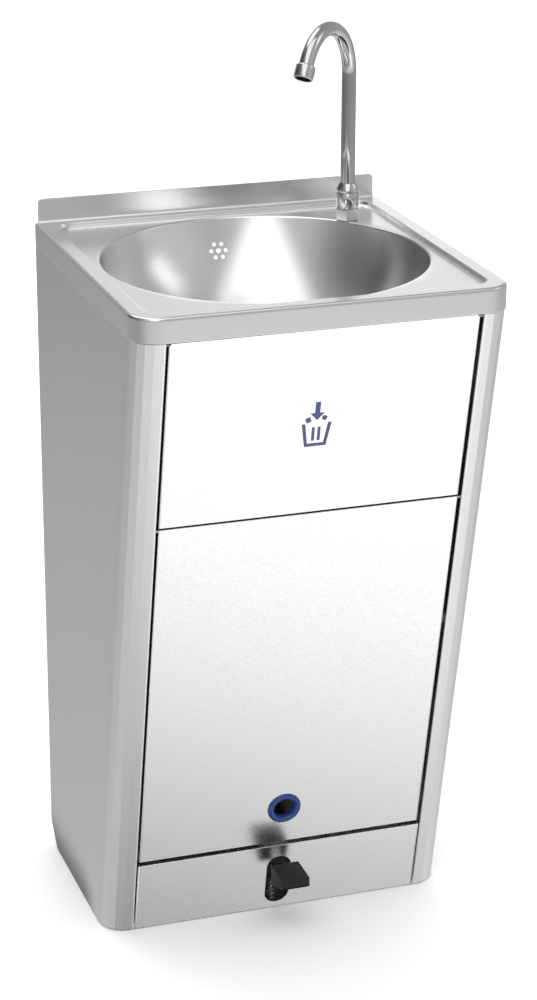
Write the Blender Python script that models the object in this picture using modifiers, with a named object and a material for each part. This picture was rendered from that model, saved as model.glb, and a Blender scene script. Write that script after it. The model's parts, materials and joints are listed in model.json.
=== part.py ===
"""Portable handwash sink: a tray top with a round bowl on a cabinet with a push flap, a lift-up door,
two water cans and a pedal pump. Metres, +X right, -Y front, +Z up, origin on the floor in the middle."""

import math

import bmesh
import bpy
from mathutils import Matrix, Vector

# ---------------------------------------------------------------- driving dimensions
HALF = 0.225
TOP_Z = 0.850
SKIRT_Z = 0.820
SHEET = 0.0012
GAP = 0.0003
LEAN = math.radians(12.1)
FRONT_Y0 = -0.0475
SLOPE = math.tan(LEAN)

TRAY_CORNER = 0.033
TRAY_EDGE = 0.0035
TRAY_SQUARE_CORNER = 0.0045
CORNER_STEPS = 5
RECESS_HALF = 0.206
RECESS_REAR = 0.2090
RECESS_CORNER = 0.022
RECESS_DEPTH = 0.005
RECESS_WALL = 0.0045
FLOOR_Z = TOP_Z - RECESS_DEPTH
UPSTAND_HALF = 0.220
UPSTAND_TOP = 0.879
UPSTAND_THICK = 0.0024
UPSTAND_BEND = 0.002

BOWL_HOLE = 0.1980
BOWL_LIP = 0.1973
BOWL_MOUTH = 0.1955
BOWL_MOUTH_Z = 0.8435
BOWL_CENTRE_Z = 0.880
BOWL_DROP = 0.1861
BOWL_TILT = math.asin((BOWL_CENTRE_Z - BOWL_MOUTH_Z) / BOWL_DROP)
BOWL_WALL = BOWL_MOUTH / math.cos(BOWL_TILT)
BOWL_LAST = math.radians(79.5)
BOWL_SEAT_Z = 0.6965
BOWL_STEPS = 40
DRAIN_HOLE = 0.0215
OVERFLOW_Z = 0.8059
OVERFLOW_CIRCLE = 0.0095

TAP_X = 0.155
TAP_Y = 0.140
TAP_YAW = math.radians(225)
TAP_TUBE = 0.009
NUT_YAW = math.radians(9.65)
TAP_BEND_Z = 1.028
TAP_BEND = 0.065
TAP_SWEEP = math.radians(150.5)

CAB_HALF = 0.2233
CAB_TOP = 0.8455
CAB_CORNER = 0.0325
CAB_FACETS = 5
CAB_REAR = 0.2233
CHAMFER_Y = 0.196
CHAMFER_Z = 0.031
JAMB_X = 0.188
JAMB_DEPTH = 0.015
REAR_FLANGE = 0.015

LEAF_HALF = 0.1842
FLAP_LOW = 0.5844
FLAP_HIGH = 0.8197
FLAP_DEPTH = 0.010
DOOR_LOW = 0.1045
DOOR_HIGH = 0.5820
DOOR_DEPTH = 0.012
PIVOT_BACK = 0.004
PIVOT_DOWN = 0.0035
PIN_RADIUS = 0.0018
PIN_HOLE = 0.0021
RING_Z = 0.1565
RING_OUTER = 0.0215
RING_HOLE = 0.0135
CATCH_THICK = 0.0015

KICK_HALF = 0.1865
KICK_HIGH = 0.100
KICK_DEPTH = 0.012
SLOT_HALF = 0.016
SLOT_LOW = 0.0085
SLOT_HIGH = 0.081

PEDAL_Y = 0.010
PEDAL_Z = 0.030
PUMP_Y = 0.070
SPRING_Y = -0.030
CAN_SHELF_Z = 0.1010
BIN_SHELF_Z = 0.4080
CAN_X = 0.106
CAN_CAP_Y = 0.100
CAN_TOP = 0.366
WHEEL_X = 0.189
WHEEL_Y = 0.190
WHEEL_Z = 0.0285
WHEEL_RADIUS = 0.026


# ---------------------------------------------------------------- scene and materials
def clear_scene():
    for obj in list(bpy.data.objects):
        bpy.data.objects.remove(obj, do_unlink=True)


def new_collection(name):
    collection = bpy.data.collections.new(name)
    bpy.context.scene.collection.children.link(collection)
    return collection


def own_material(name, finish):
    colour, roughness, metallic = finish
    mat = bpy.data.materials.new(name)
    mat.use_nodes = True
    shader = mat.node_tree.nodes["Principled BSDF"]
    shader.inputs["Base Color"].default_value = (*colour, 1.0)
    shader.inputs["Roughness"].default_value = roughness
    shader.inputs["Metallic"].default_value = metallic
    return mat


clear_scene()
PARTS = new_collection("handwash_sink")
HELPERS = new_collection("helpers")

# A finish is a colour, a roughness and a metallic value.
STEEL = ((0.62, 0.62, 0.61), 0.34, 1.0)
ZINC = ((0.52, 0.53, 0.54), 0.45, 1.0)
CHROME = ((0.80, 0.80, 0.80), 0.08, 1.0)
BLACK = ((0.025, 0.025, 0.025), 0.55, 0.0)
WHITE = ((0.80, 0.80, 0.78), 0.45, 0.0)
BLUE = ((0.02, 0.05, 0.20), 0.35, 0.0)
GREY = ((0.25, 0.26, 0.27), 0.50, 0.0)
RUBBER = ((0.03, 0.03, 0.03), 0.80, 0.0)
HOSE = ((0.55, 0.57, 0.58), 0.45, 0.0)


# ---------------------------------------------------------------- modelling helpers
def put(data, name, finish):
    obj = bpy.data.objects.new(name, data)
    if finish:
        data.materials.append(own_material(name, finish))
    PARTS.objects.link(obj)
    return obj


def as_helper(obj):
    PARTS.objects.unlink(obj)
    HELPERS.objects.link(obj)
    obj.hide_render = True
    obj.display_type = "WIRE"
    return obj


def smooth(mesh, angle=35):
    mesh.shade_smooth()
    mesh.set_sharp_from_angle(angle=math.radians(angle))


def bevel(obj, width, segments=2, angle=40):
    modifier = obj.modifiers.new("bevel", "BEVEL")
    modifier.width = width
    modifier.segments = segments
    modifier.limit_method = "ANGLE"
    modifier.angle_limit = math.radians(angle)


def boolean(obj, other, operation):
    modifier = obj.modifiers.new(operation.lower(), "BOOLEAN")
    modifier.operation = operation
    modifier.solver = "EXACT"
    modifier.object = as_helper(other)


def cut(obj, cutter):
    boolean(obj, cutter, "DIFFERENCE")


def join(obj, other):
    boolean(obj, other, "UNION")


def solidify(obj, thickness, offset=-1.0):
    modifier = obj.modifiers.new("solidify", "SOLIDIFY")
    modifier.thickness = thickness
    modifier.offset = offset
    modifier.use_even_offset = True


def box(name, low, high, finish=None, place=None):
    shape = bmesh.new()
    bmesh.ops.create_cube(shape, size=1.0)
    size = Vector(high) - Vector(low)
    middle = (Vector(high) + Vector(low)) / 2
    matrix = Matrix.Translation(middle) @ Matrix.Diagonal((*size, 1.0))
    bmesh.ops.transform(shape, matrix=matrix, verts=shape.verts)
    mesh = bpy.data.meshes.new(name)
    shape.to_mesh(mesh)
    shape.free()
    obj = put(mesh, name, finish)
    if place:
        obj.matrix_world = place
    return obj


def bar(name, start, end, radius, finish=None, sides=24):
    """A plain round bar between two points."""
    along = Vector(end) - Vector(start)
    shape = bmesh.new()
    bmesh.ops.create_cone(
        shape,
        cap_ends=True,
        segments=sides,
        radius1=radius,
        radius2=radius,
        depth=along.length,
    )
    turn = along.to_track_quat("Z", "Y").to_matrix().to_4x4()
    middle = (Vector(start) + Vector(end)) / 2
    bmesh.ops.transform(shape, matrix=Matrix.Translation(middle) @ turn, verts=shape.verts)
    mesh = bpy.data.meshes.new(name)
    shape.to_mesh(mesh)
    shape.free()
    smooth(mesh)
    return put(mesh, name, finish)


def meshed(curve, name, finish):
    """The solid of a curve as a mesh with its caps welded on, which a Boolean or a Bevel can take."""
    source = put(curve, name + "_curve", None)
    graph = bpy.context.evaluated_depsgraph_get()
    mesh = bpy.data.meshes.new_from_object(source.evaluated_get(graph))
    bpy.data.objects.remove(source)
    shape = bmesh.new()
    shape.from_mesh(mesh)
    bmesh.ops.remove_doubles(shape, verts=shape.verts, dist=1e-6)
    bmesh.ops.recalc_face_normals(shape, faces=shape.faces)
    shape.to_mesh(mesh)
    shape.free()
    mesh.name = name
    return put(mesh, name, finish)


def plate(name, outlines, thickness, finish=None, place=None):
    """A flat outline in local XY, its holes after it, with the thickness centred on the plane."""
    curve = bpy.data.curves.new(name, "CURVE")
    curve.dimensions = "2D"
    curve.fill_mode = "BOTH"
    curve.extrude = thickness / 2
    for outline in outlines:
        spline = curve.splines.new("POLY")
        spline.points.add(len(outline) - 1)
        for point, (x, y) in zip(spline.points, outline):
            point.co = (x, y, 0.0, 1.0)
        spline.use_cyclic_u = True
    obj = meshed(curve, name, finish)
    smooth(obj.data, 30)
    if place:
        obj.matrix_world = place
    return obj


def tube(name, route, radius, finish, resolution=4):
    curve = bpy.data.curves.new(name, "CURVE")
    curve.dimensions = "3D"
    curve.bevel_depth = radius
    curve.bevel_resolution = resolution
    curve.use_fill_caps = True
    spline = curve.splines.new("POLY")
    spline.points.add(len(route) - 1)
    for point, place in zip(spline.points, route):
        point.co = (*place, 1.0)
    obj = meshed(curve, name, finish)
    smooth(obj.data, 50)
    return obj


def runs_down(profile):
    """Whether a profile closed on itself, or along the axis, goes down on its outer side."""
    area = 0.0
    for (r0, z0), (r1, z1) in zip(profile, profile[1:] + profile[:1]):
        area += r0 * z1 - r1 * z0
    return area < 0


def turned(name, profile, finish=None, closed=False, steps=32, place=None):
    """A profile of (radius, height) turned about local Z."""
    if not runs_down(profile):
        profile = profile[::-1]
    edges = [(i, i + 1) for i in range(len(profile) - 1)]
    if closed:
        edges.append((len(profile) - 1, 0))
    mesh = bpy.data.meshes.new(name)
    mesh.from_pydata([(r, 0.0, z) for r, z in profile], edges, [])
    obj = put(mesh, name, finish)
    modifier = obj.modifiers.new("screw", "SCREW")
    modifier.steps = steps
    modifier.render_steps = steps
    modifier.use_merge_vertices = True
    modifier.merge_threshold = 1e-5
    modifier.use_smooth_shade = True
    if place:
        obj.matrix_world = place
    return obj


def circle(radius, x=0.0, y=0.0, count=24, start=0.0):
    turn = 2 * math.pi / count
    return [
        (x + radius * math.cos(start + i * turn), y + radius * math.sin(start + i * turn))
        for i in range(count)
    ]


def arc(x, y, radius, start, end, steps):
    """Points on an arc, angles in degrees."""
    found = []
    for i in range(steps + 1):
        angle = math.radians(start + (end - start) * i / steps)
        found.append((x + radius * math.cos(angle), y + radius * math.sin(angle)))
    return found


def rounded(x0, x1, y0, y1, front, rear, steps=CORNER_STEPS):
    """A rounded rectangle, anticlockwise from its rear right corner, with its own front and rear radius."""
    return (
        arc(x1 - rear, y1 - rear, rear, 0, 90, steps)
        + arc(x0 + rear, y1 - rear, rear, 90, 180, steps)
        + arc(x0 + front, y0 + front, front, 180, 270, steps)
        + arc(x1 - front, y0 + front, front, 270, 360, steps)
    )


def loft(name, rings, finish=None, cyclic=True, cap_low=False, cap_high=False):
    """Rings of points with equal counts, bottom first, joined by quads."""
    count = len(rings[0])
    points = [point for ring in rings for point in ring]
    faces = []
    for level in range(len(rings) - 1):
        low = level * count
        high = low + count
        for i in range(count if cyclic else count - 1):
            j = (i + 1) % count
            faces.append((low + i, low + j, high + j, high + i))
    if cap_low:
        faces.append(tuple(reversed(range(count))))
    if cap_high:
        faces.append(tuple(range(len(points) - count, len(points))))
    mesh = bpy.data.meshes.new(name)
    mesh.from_pydata(points, [], faces)
    smooth(mesh)
    return put(mesh, name, finish)


def flow(points, per_span=4):
    """A smooth route through the points."""
    knots = [Vector(point) for point in points]
    knots = [2 * knots[0] - knots[1]] + knots + [2 * knots[-1] - knots[-2]]
    route = []
    for a, b, c, d in zip(knots, knots[1:], knots[2:], knots[3:]):
        for i in range(per_span):
            t = i / per_span
            route.append(
                0.5
                * (
                    2 * b
                    + (c - a) * t
                    + (2 * a - 5 * b + 4 * c - d) * t**2
                    + (3 * b - a - 3 * c + d) * t**3
                )
            )
    route.append(knots[-2])
    return route


def front_y(z):
    return FRONT_Y0 - SLOPE * z


def post_back(z):
    """How far back a rounded front post reaches at height z, with room to spare."""
    return front_y(z) + CAB_CORNER + 0.002


def front_frame(z):
    """Local X across, local Y inward and local Z up the leaning front, from its face at height z."""
    return Matrix.Translation((0, front_y(z), z)) @ Matrix.Rotation(LEAN, 4, "X")


def pivot_frame(z):
    """The front frame moved to the hinge line of a leaf whose top edge is at height z."""
    return front_frame(z) @ Matrix.Translation((0, PIVOT_BACK, -PIVOT_DOWN))


# A plate lies in XY: this turns it into a frame's XZ plane, with its thickness along Y.
UPRIGHT = Matrix.Rotation(math.radians(90), 4, "X")
# And this turns it into the world's YZ plane, with its thickness along X.
SIDEWAYS = Matrix(((0, 0, 1, 0), (1, 0, 0, 0), (0, 1, 0, 0), (0, 0, 0, 1)))


def slanted(z0, z1):
    return (z1 - z0) / math.cos(LEAN)


# ---------------------------------------------------------------- worktop and bowl
def tray_ring(inset, z):
    ring = rounded(
        -HALF + inset,
        HALF - inset,
        -HALF + inset,
        HALF - inset,
        TRAY_CORNER - inset,
        TRAY_SQUARE_CORNER - inset,
    )
    return [(x, y, z) for x, y in ring]


def recess_ring(inset, z):
    ring = rounded(
        -RECESS_HALF + inset,
        RECESS_HALF - inset,
        -RECESS_HALF + inset,
        RECESS_REAR - inset,
        RECESS_CORNER - inset,
        RECESS_CORNER - inset,
    )
    return [(x, y, z) for x, y in ring]


def upstand():
    """The upright at the back edge, with the bend at its foot."""
    low = TOP_Z - 0.0038
    outline = (
        [(-UPSTAND_HALF, low), (UPSTAND_HALF, low)]
        + arc(UPSTAND_HALF - 0.004, UPSTAND_TOP - 0.004, 0.004, 0, 90, 4)
        + arc(-UPSTAND_HALF + 0.004, UPSTAND_TOP - 0.004, 0.004, 90, 180, 4)
    )
    middle_y = HALF - 0.0001 - UPSTAND_THICK / 2
    place = Matrix.Translation((0, middle_y, 0)) @ UPRIGHT
    sheet = plate("upstand_sheet", [outline], UPSTAND_THICK, place=place)
    face_y = middle_y - UPSTAND_THICK / 2
    bend = arc(face_y - UPSTAND_BEND, TOP_Z + UPSTAND_BEND, UPSTAND_BEND, 0, -90, 5)
    foot = [(face_y + 0.001, TOP_Z - 0.0006), (face_y + 0.001, TOP_Z + UPSTAND_BEND)]
    foot += bend + [(face_y - UPSTAND_BEND - 0.0005, TOP_Z - 0.0006)]
    fillet = plate("upstand_bend", [foot], 2 * UPSTAND_HALF - 0.0006, place=SIDEWAYS)
    return sheet, fillet


def make_worktop():
    rings = [tray_ring(0, SKIRT_Z)]
    for i in range(4):
        turn = math.radians(30 * i)
        inset = TRAY_EDGE * (1 - math.cos(turn))
        rings.append(tray_ring(inset, TOP_Z - TRAY_EDGE + TRAY_EDGE * math.sin(turn)))
    rings.append(recess_ring(0, TOP_Z))
    rings.append(recess_ring(0.25 * RECESS_WALL, TOP_Z - 0.08 * RECESS_DEPTH))
    rings.append(recess_ring(0.45 * RECESS_WALL, TOP_Z - 0.35 * RECESS_DEPTH))
    rings.append(recess_ring(0.60 * RECESS_WALL, TOP_Z - 0.70 * RECESS_DEPTH))
    rings.append(recess_ring(0.80 * RECESS_WALL, TOP_Z - 0.93 * RECESS_DEPTH))
    rings.append(recess_ring(1.00 * RECESS_WALL, FLOOR_Z))
    top = loft("worktop", rings, STEEL, cap_high=True)
    solidify(top, SHEET)
    cut(top, bar("bowl_opening", (0, 0, 0.80), (0, 0, 0.90), BOWL_HOLE, sides=2 * BOWL_STEPS))
    cut(top, bar("tap_opening", (TAP_X, TAP_Y, 0.80), (TAP_X, TAP_Y, 0.90), 0.0084))
    for piece in upstand():
        join(top, piece)


def bowl_profile(grow=0.0):
    """From the lip down to the drain seat, moved outward by grow."""
    points = []
    for i in range(4):
        turn = math.radians(30 * i)
        r = BOWL_LIP - (BOWL_LIP - BOWL_MOUTH) * math.sin(turn) + grow * math.sin(turn)
        drop = (FLOOR_Z - BOWL_MOUTH_Z) * (1 - math.cos(turn)) + grow * math.cos(turn)
        points.append((r, FLOOR_Z - drop))
    for i in range(1, 8):
        turn = BOWL_TILT + (BOWL_LAST - BOWL_TILT) * i / 7
        r = (BOWL_WALL + grow) * math.cos(turn)
        points.append((r, BOWL_CENTRE_Z - (BOWL_DROP + grow) * math.sin(turn)))
    return points


def make_bowl():
    profile = bowl_profile() + [(0.0335, BOWL_SEAT_Z), (DRAIN_HOLE, BOWL_SEAT_Z)]
    bowl = turned("bowl", profile, STEEL, steps=BOWL_STEPS)
    solidify(bowl, SHEET, offset=1.0)
    sine = (BOWL_CENTRE_Z - OVERFLOW_Z) / BOWL_DROP
    wall_y = BOWL_WALL * math.sqrt(1 - sine**2)
    normal = Vector((0, wall_y / BOWL_WALL**2, (OVERFLOW_Z - BOWL_CENTRE_Z) / BOWL_DROP**2))
    normal.normalize()
    rise = normal.cross(Vector((-1, 0, 0)))
    middle = Vector((0, wall_y, OVERFLOW_Z))
    spots = [(middle, 0.0031)]
    for i in range(6):
        turn = math.radians(60 * i)
        side = Vector((1, 0, 0)) * math.cos(turn) + rise * math.sin(turn)
        spots.append((middle + OVERFLOW_CIRCLE * side, 0.0027))
    for spot, radius in spots:
        drill = bar("overflow_drill", spot - 0.01 * normal, spot + 0.01 * normal, radius, sides=10)
        cut(bowl, drill)


def make_drain():
    body = [
        (0.0310, 0.6968),
        (0.0310, 0.6976),
        (0.0290, 0.6986),
        (0.0165, 0.6974),
        (0.0165, 0.6900),
        (0.0135, 0.6900),
        (0.0135, 0.6000),
        (0.0158, 0.6000),
        (0.0158, 0.6400),
        (0.0205, 0.6440),
        (0.0205, 0.6968),
    ]
    drain = turned("drain_body", body, ZINC, closed=True, steps=20)
    join(drain, bar("drain_spigot", (0, 0.0185, 0.668), (0, 0.0345, 0.668), 0.0050))
    cut(drain, bar("drain_spigot_bore", (0, 0.0100, 0.668), (0, 0.0400, 0.668), 0.0034))
    holes = [circle(0.0024, count=8)]
    for i in range(6):
        turn = math.radians(60 * i)
        holes.append(circle(0.0024, 0.009 * math.cos(turn), 0.009 * math.sin(turn), count=8))
    place = Matrix.Translation((0, 0, 0.6911))
    plate("drain_strainer", [circle(0.0160, count=20)] + holes, 0.0014, CHROME, place)
    washer_z = BOWL_SEAT_Z - SHEET - GAP - 0.0012
    ring = [circle(0.0290, count=20), circle(0.0210, count=20)]
    plate("drain_washer", ring, 0.0024, RUBBER, Matrix.Translation((0, 0, washer_z)))
    nut_z = washer_z - 0.0012 - GAP - 0.0040
    ring = [circle(0.0290, count=6), circle(0.0208, count=20)]
    nut = plate("drain_nut", ring, 0.0080, ZINC, Matrix.Translation((0, 0, nut_z)))
    bevel(nut, 0.0006, 1)


def make_overflow():
    cup = box("overflow_cup", (-0.019, 0.165, 0.786), (0.019, 0.202, 0.824), WHITE)
    bevel(cup, 0.003)
    cut(cup, box("overflow_pocket", (-0.0165, 0.150, 0.7885), (0.0165, 0.1995, 0.8215)))
    shadow = [(0.0, FLOOR_Z)] + [(BOWL_MOUTH + 0.0020, FLOOR_Z)]
    shadow += bowl_profile(SHEET + 0.0005)[3:] + [(0.0, 0.690)]
    cut(cup, turned("bowl_shadow", shadow, steps=BOWL_STEPS))
    join(cup, bar("overflow_spigot", (0, 0.1925, 0.7745), (0, 0.1925, 0.7880), 0.0050))
    cut(cup, bar("overflow_bore", (0, 0.1925, 0.7700), (0, 0.1925, 0.7950), 0.0034))
    route = flow(
        [
            (0, 0.1925, 0.7742),
            (0, 0.1925, 0.7600),
            (0, 0.1850, 0.7150),
            (0, 0.1400, 0.6800),
            (0, 0.0750, 0.6690),
            (0, 0.0450, 0.6680),
            (0, 0.0348, 0.6680),
        ]
    )
    tube("overflow_hose", route, 0.0055, HOSE, 2)
    route = flow(
        [
            (0, 0, 0.5990),
            (0, 0, 0.5800),
            (-0.006, 0.008, 0.552),
            (-0.030, 0.035, 0.515),
            (-0.080, 0.085, 0.470),
            (-CAN_X, CAN_CAP_Y, 0.430),
            (-CAN_X, CAN_CAP_Y, 0.3835),
        ]
    )
    tube("waste_hose", route, 0.0135, HOSE, 3)


# ---------------------------------------------------------------- tap
def make_tap():
    here = Matrix.Translation((TAP_X, TAP_Y, 0))
    hexagon = circle(0.0156, count=6, start=NUT_YAW)
    nut_z = FLOOR_Z + GAP
    nut_high = 0.0145
    place = here @ Matrix.Translation((0, 0, nut_z + nut_high / 2))
    nut = plate("faucet_nut", [hexagon, circle(0.0083, count=20)], nut_high, CHROME, place)
    bevel(nut, 0.0006, 1)
    body_z = nut_z + nut_high + GAP
    body = [
        (0.0094, body_z + 0.0200),
        (0.0136, body_z + 0.0200),
        (0.0140, body_z + 0.0196),
        (0.0140, body_z),
        (0.0, body_z),
        (0.0, body_z + 0.0060),
        (0.0094, body_z + 0.0060),
    ]
    turned("faucet_body", body, CHROME, closed=True, steps=24, place=here)
    collar_z = body_z + 0.0200 + GAP
    collar = [
        (0.0095, collar_z + 0.0115),
        (0.0102, collar_z + 0.0115),
        (0.0140, collar_z + 0.0030),
        (0.0140, collar_z),
        (0.0095, collar_z),
    ]
    turned("faucet_collar", collar, CHROME, closed=True, steps=24, place=here)
    out = Vector((math.cos(TAP_YAW), math.sin(TAP_YAW), 0))
    foot = Vector((TAP_X, TAP_Y, 0))
    route = [foot + Vector((0, 0, body_z + 0.0066)), foot + Vector((0, 0, 0.95))]
    for i in range(14):
        turn = TAP_SWEEP * i / 13
        across = TAP_BEND * (1 - math.cos(turn))
        route.append(foot + across * out + Vector((0, 0, TAP_BEND_Z + TAP_BEND * math.sin(turn))))
    down = out * math.sin(TAP_SWEEP) + Vector((0, 0, math.cos(TAP_SWEEP)))
    end = route[-1] + 0.001 * down
    tube("faucet_spout", route + [end], TAP_TUBE, CHROME, 6)
    shell = [
        (0.0, 0.0003),
        (0.0106, 0.0003),
        (0.0120, 0.0016),
        (0.0120, 0.0165),
        (0.0113, 0.0175),
        (0.0096, 0.0175),
        (0.0096, 0.0095),
        (0.0, 0.0095),
    ]
    aim = Matrix.Translation(end) @ down.to_track_quat("Z", "Y").to_matrix().to_4x4()
    turned("aerator_shell", shell, CHROME, steps=24, place=aim)
    holes = []
    for i in range(6):
        turn = math.radians(60 * i)
        holes.append(circle(0.0016, 0.0054 * math.cos(turn), 0.0054 * math.sin(turn), count=8))
    aim = aim @ Matrix.Translation((0, 0, 0.0110))
    plate("aerator_screen", [circle(0.0092, count=24)] + holes, 0.0020, BLACK, aim)
    bar("faucet_shank", (TAP_X, TAP_Y, 0.800), (TAP_X, TAP_Y, body_z - 0.0004), 0.0079, ZINC)
    washer_z = FLOOR_Z - SHEET - GAP - 0.0014
    ring = [circle(0.0108), circle(0.0083)]
    place = here @ Matrix.Translation((0, 0, washer_z))
    plate("faucet_washer", ring, 0.0028, RUBBER, place)
    place = here @ Matrix.Translation((0, 0, washer_z - 0.0014 - GAP - 0.0030))
    plate("faucet_locknut", [circle(0.0122, count=6), circle(0.0083)], 0.0060, ZINC, place)


# ---------------------------------------------------------------- cabinet
def panel_section(z, side):
    """Plan of a side panel's outer face at height z: rear flange, side, front corner, jamb."""
    lean_z = min(z, SKIRT_Z)
    front = front_y(lean_z)
    rear = CAB_REAR
    if z < CHAMFER_Z:
        rear = CHAMFER_Y + (CAB_REAR - CHAMFER_Y) * z / CHAMFER_Z
    corner = 0.002
    points = [(CAB_HALF - REAR_FLANGE, rear)]
    points += arc(CAB_HALF - corner, rear - corner, corner, 90, 0, 3)
    points += arc(CAB_HALF - CAB_CORNER, front + CAB_CORNER, CAB_CORNER, 0, -90, CAB_FACETS)
    points += [(JAMB_X, front), (JAMB_X, front + JAMB_DEPTH)]
    return [(side * x, y, z) for x, y in points]


def pin_line(z, radius, name):
    """A round cutter across the whole width on a hinge line."""
    middle = pivot_frame(z).translation
    return bar(name, (-0.3, middle.y, middle.z), (0.3, middle.y, middle.z), radius, sides=12)


def make_side_panel(name, side):
    levels = (0.0, CHAMFER_Z, SKIRT_Z, CAB_TOP)
    rings = [panel_section(z, side) for z in levels]
    panel = loft(name, rings, STEEL, cyclic=False)
    if side > 0:
        panel.data.flip_normals()
    solidify(panel, SHEET)
    cut(panel, pin_line(FLAP_HIGH, PIN_HOLE, name + "_flap_hole"))
    cut(panel, pin_line(DOOR_HIGH, PIN_HOLE, name + "_door_hole"))


def make_rear_panel():
    inner = CAB_REAR - SHEET - GAP
    low = (-CAB_HALF + SHEET + GAP, inner - SHEET, CHAMFER_Z + 0.003)
    high = (CAB_HALF - SHEET - GAP, inner, CAB_TOP)
    panel = box("rear_panel", low, high, STEEL)
    rib = box("rear_rib", (-0.16, inner - SHEET - 0.006, 0.50), (0.16, inner - SHEET / 2, 0.53))
    cut(panel, box("rear_vent", (-0.05, 0.10, 0.60), (0.05, 0.30, 0.606)))
    join(panel, rib)


def make_base_plate():
    run = (CAB_REAR - CHAMFER_Y) / CHAMFER_Z
    lip_z = 0.0270
    section = [
        (-0.0455, 0.0),
        (CHAMFER_Y - 0.0012, 0.0),
        (CHAMFER_Y - 0.0012 + run * lip_z, lip_z),
        (CHAMFER_Y - 0.0027 + run * lip_z, lip_z),
        (CHAMFER_Y - 0.0027 + run * 0.0015, 0.0015),
        (-0.0455, 0.0015),
    ]
    base = plate("base_plate", [section], 2 * 0.2215, ZINC, SIDEWAYS)
    for side in (-1, 1):
        x0, x1 = sorted((side * 0.1845, side * 0.3))
        cut(base, box("post_notch", (x0, -0.1, -0.01), (x1, post_back(0), 0.05)))
        x0, x1 = sorted((side * 0.1690, side * 0.3))
        cut(base, box("wheel_notch", (x0, 0.150, -0.01), (x1, 0.3, 0.05)))
    ear = [
        (0.1700, 0.0007),
        (0.1935, 0.0007),
        (0.2060, 0.0160),
        (0.2060, 0.0390),
        (0.1980, 0.0450),
        (0.1800, 0.0450),
        (0.1700, 0.0370),
    ]
    for side in (-1, 1):
        place = Matrix.Translation((side * 0.1655, 0, 0)) @ SIDEWAYS
        join(base, plate("axle_ear", [ear], 0.002, place=place))
        x0, x1 = sorted((side * 0.2200, side * 0.2215))
        join(base, box("base_flange", (x0, post_back(0), 0.0007), (x1, 0.148, 0.0150)))
    axle = (-0.3, WHEEL_Y, WHEEL_Z), (0.3, WHEEL_Y, WHEEL_Z)
    cut(base, bar("axle_hole", *axle, 0.0043, sides=20))


def make_shelf(name, z, y0, y1, drop):
    """A shelf plate with its front and side edges folded down."""
    outer = CAB_HALF - SHEET - 2 * GAP
    shelf = box(name, (-outer, y0, z - drop), (outer, y1, z + SHEET), ZINC)
    inner = outer - SHEET
    cut(shelf, box(name + "_hollow", (-inner, y0 + SHEET, z - 0.1), (inner, y1 + 0.1, z)))
    for side in (-1, 1):
        x0, x1 = sorted((side * 0.1865, side * 0.3))
        cut(shelf, box(name + "_notch", (x0, y0 - 0.1, z - 0.1), (x1, post_back(z - drop), z + 0.1)))
    return shelf


def make_shelves():
    shelf = make_shelf("can_shelf", CAN_SHELF_Z, -0.052, 0.2195, 0.012)
    for x in (-0.025, 0.025):
        cut(shelf, bar("hose_hole", (x, 0.2075, 0.05), (x, 0.2075, 0.15), 0.0085, sides=16))
    make_shelf("bin_shelf", BIN_SHELF_Z, -0.1175, -0.0200, 0.010)


def make_top_rail():
    rail = box("top_rail", (-0.1868, -0.2226, 0.8245), (0.1868, -0.2105, 0.8433), STEEL)
    cut(rail, box("rail_hollow", (-0.3, -0.2226 + SHEET, 0.80), (0.3, -0.20, 0.8433 - SHEET)))


def pan(name, half, low, high, depth, finish, place, chamfer=0.0):
    """A leaf with its four edges folded in: local Y 0 is its face, X across, Z up."""
    outline = [(half, low), (half, high - chamfer), (half - chamfer, high)]
    outline += [(-half + chamfer, high), (-half, high - chamfer), (-half, low)]
    if not chamfer:
        outline = [(half, low), (half, high), (-half, high), (-half, low)]
    middle = Matrix.Translation((0, depth / 2, 0))
    leaf = plate(name, [outline], depth, finish, place @ middle @ UPRIGHT)
    bevel(leaf, 0.0008, 2)
    inner = half - SHEET
    hollow = box(
        name + "_hollow",
        (-inner, SHEET, low + SHEET),
        (inner, depth + 0.01, high - SHEET - 0.35 * chamfer),
        place=place,
    )
    cut(leaf, hollow)
    return leaf


def make_kick_panel():
    place = front_frame(0)
    high = slanted(0, KICK_HIGH)
    kick = pan("kick_panel", KICK_HALF, 0.0, high, KICK_DEPTH, STEEL, place)
    low_end = SLOT_LOW / math.cos(LEAN) + SLOT_HALF
    high_end = SLOT_HIGH / math.cos(LEAN) - SLOT_HALF
    slot = arc(0, high_end, SLOT_HALF, 0, 180, 14) + arc(0, low_end, SLOT_HALF, 180, 360, 14)
    cut(kick, plate("pedal_slot", [slot], 0.08, place=place @ UPRIGHT))
    open_foot = box("kick_foot", (-0.1853, SHEET, -0.02), (0.1853, 0.03, 0.02), place=place)
    cut(kick, open_foot)


# ---------------------------------------------------------------- flap and door
def make_pin(name, z, side):
    """A headed hinge pin from inside the post, through the jamb, into the leaf's folded edge."""
    profile = [
        (0.0, 0.0),
        (PIN_RADIUS, 0.0),
        (PIN_RADIUS, 0.0096),
        (0.0026, 0.0096),
        (0.0026, 0.0110),
        (0.0, 0.0110),
    ]
    middle = pivot_frame(z).translation
    turn = Matrix.Rotation(math.radians(90 * side), 4, "Y")
    place = Matrix.Translation((side * 0.1800, middle.y, middle.z)) @ turn
    turned(name, profile, ZINC, steps=16, place=place)


def make_flap():
    place = pivot_frame(FLAP_HIGH) @ Matrix.Translation((0, -PIVOT_BACK, 0))
    high = PIVOT_DOWN
    low = high - slanted(FLAP_LOW, FLAP_HIGH)
    flap = pan("flap", LEAF_HALF, low, high, FLAP_DEPTH, STEEL, place, chamfer=0.003)
    cut(flap, pin_line(FLAP_HIGH, PIN_HOLE, "flap_pin_hole"))
    make_pin("flap_pin_left", FLAP_HIGH, -1)
    make_pin("flap_pin_right", FLAP_HIGH, 1)


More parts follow.
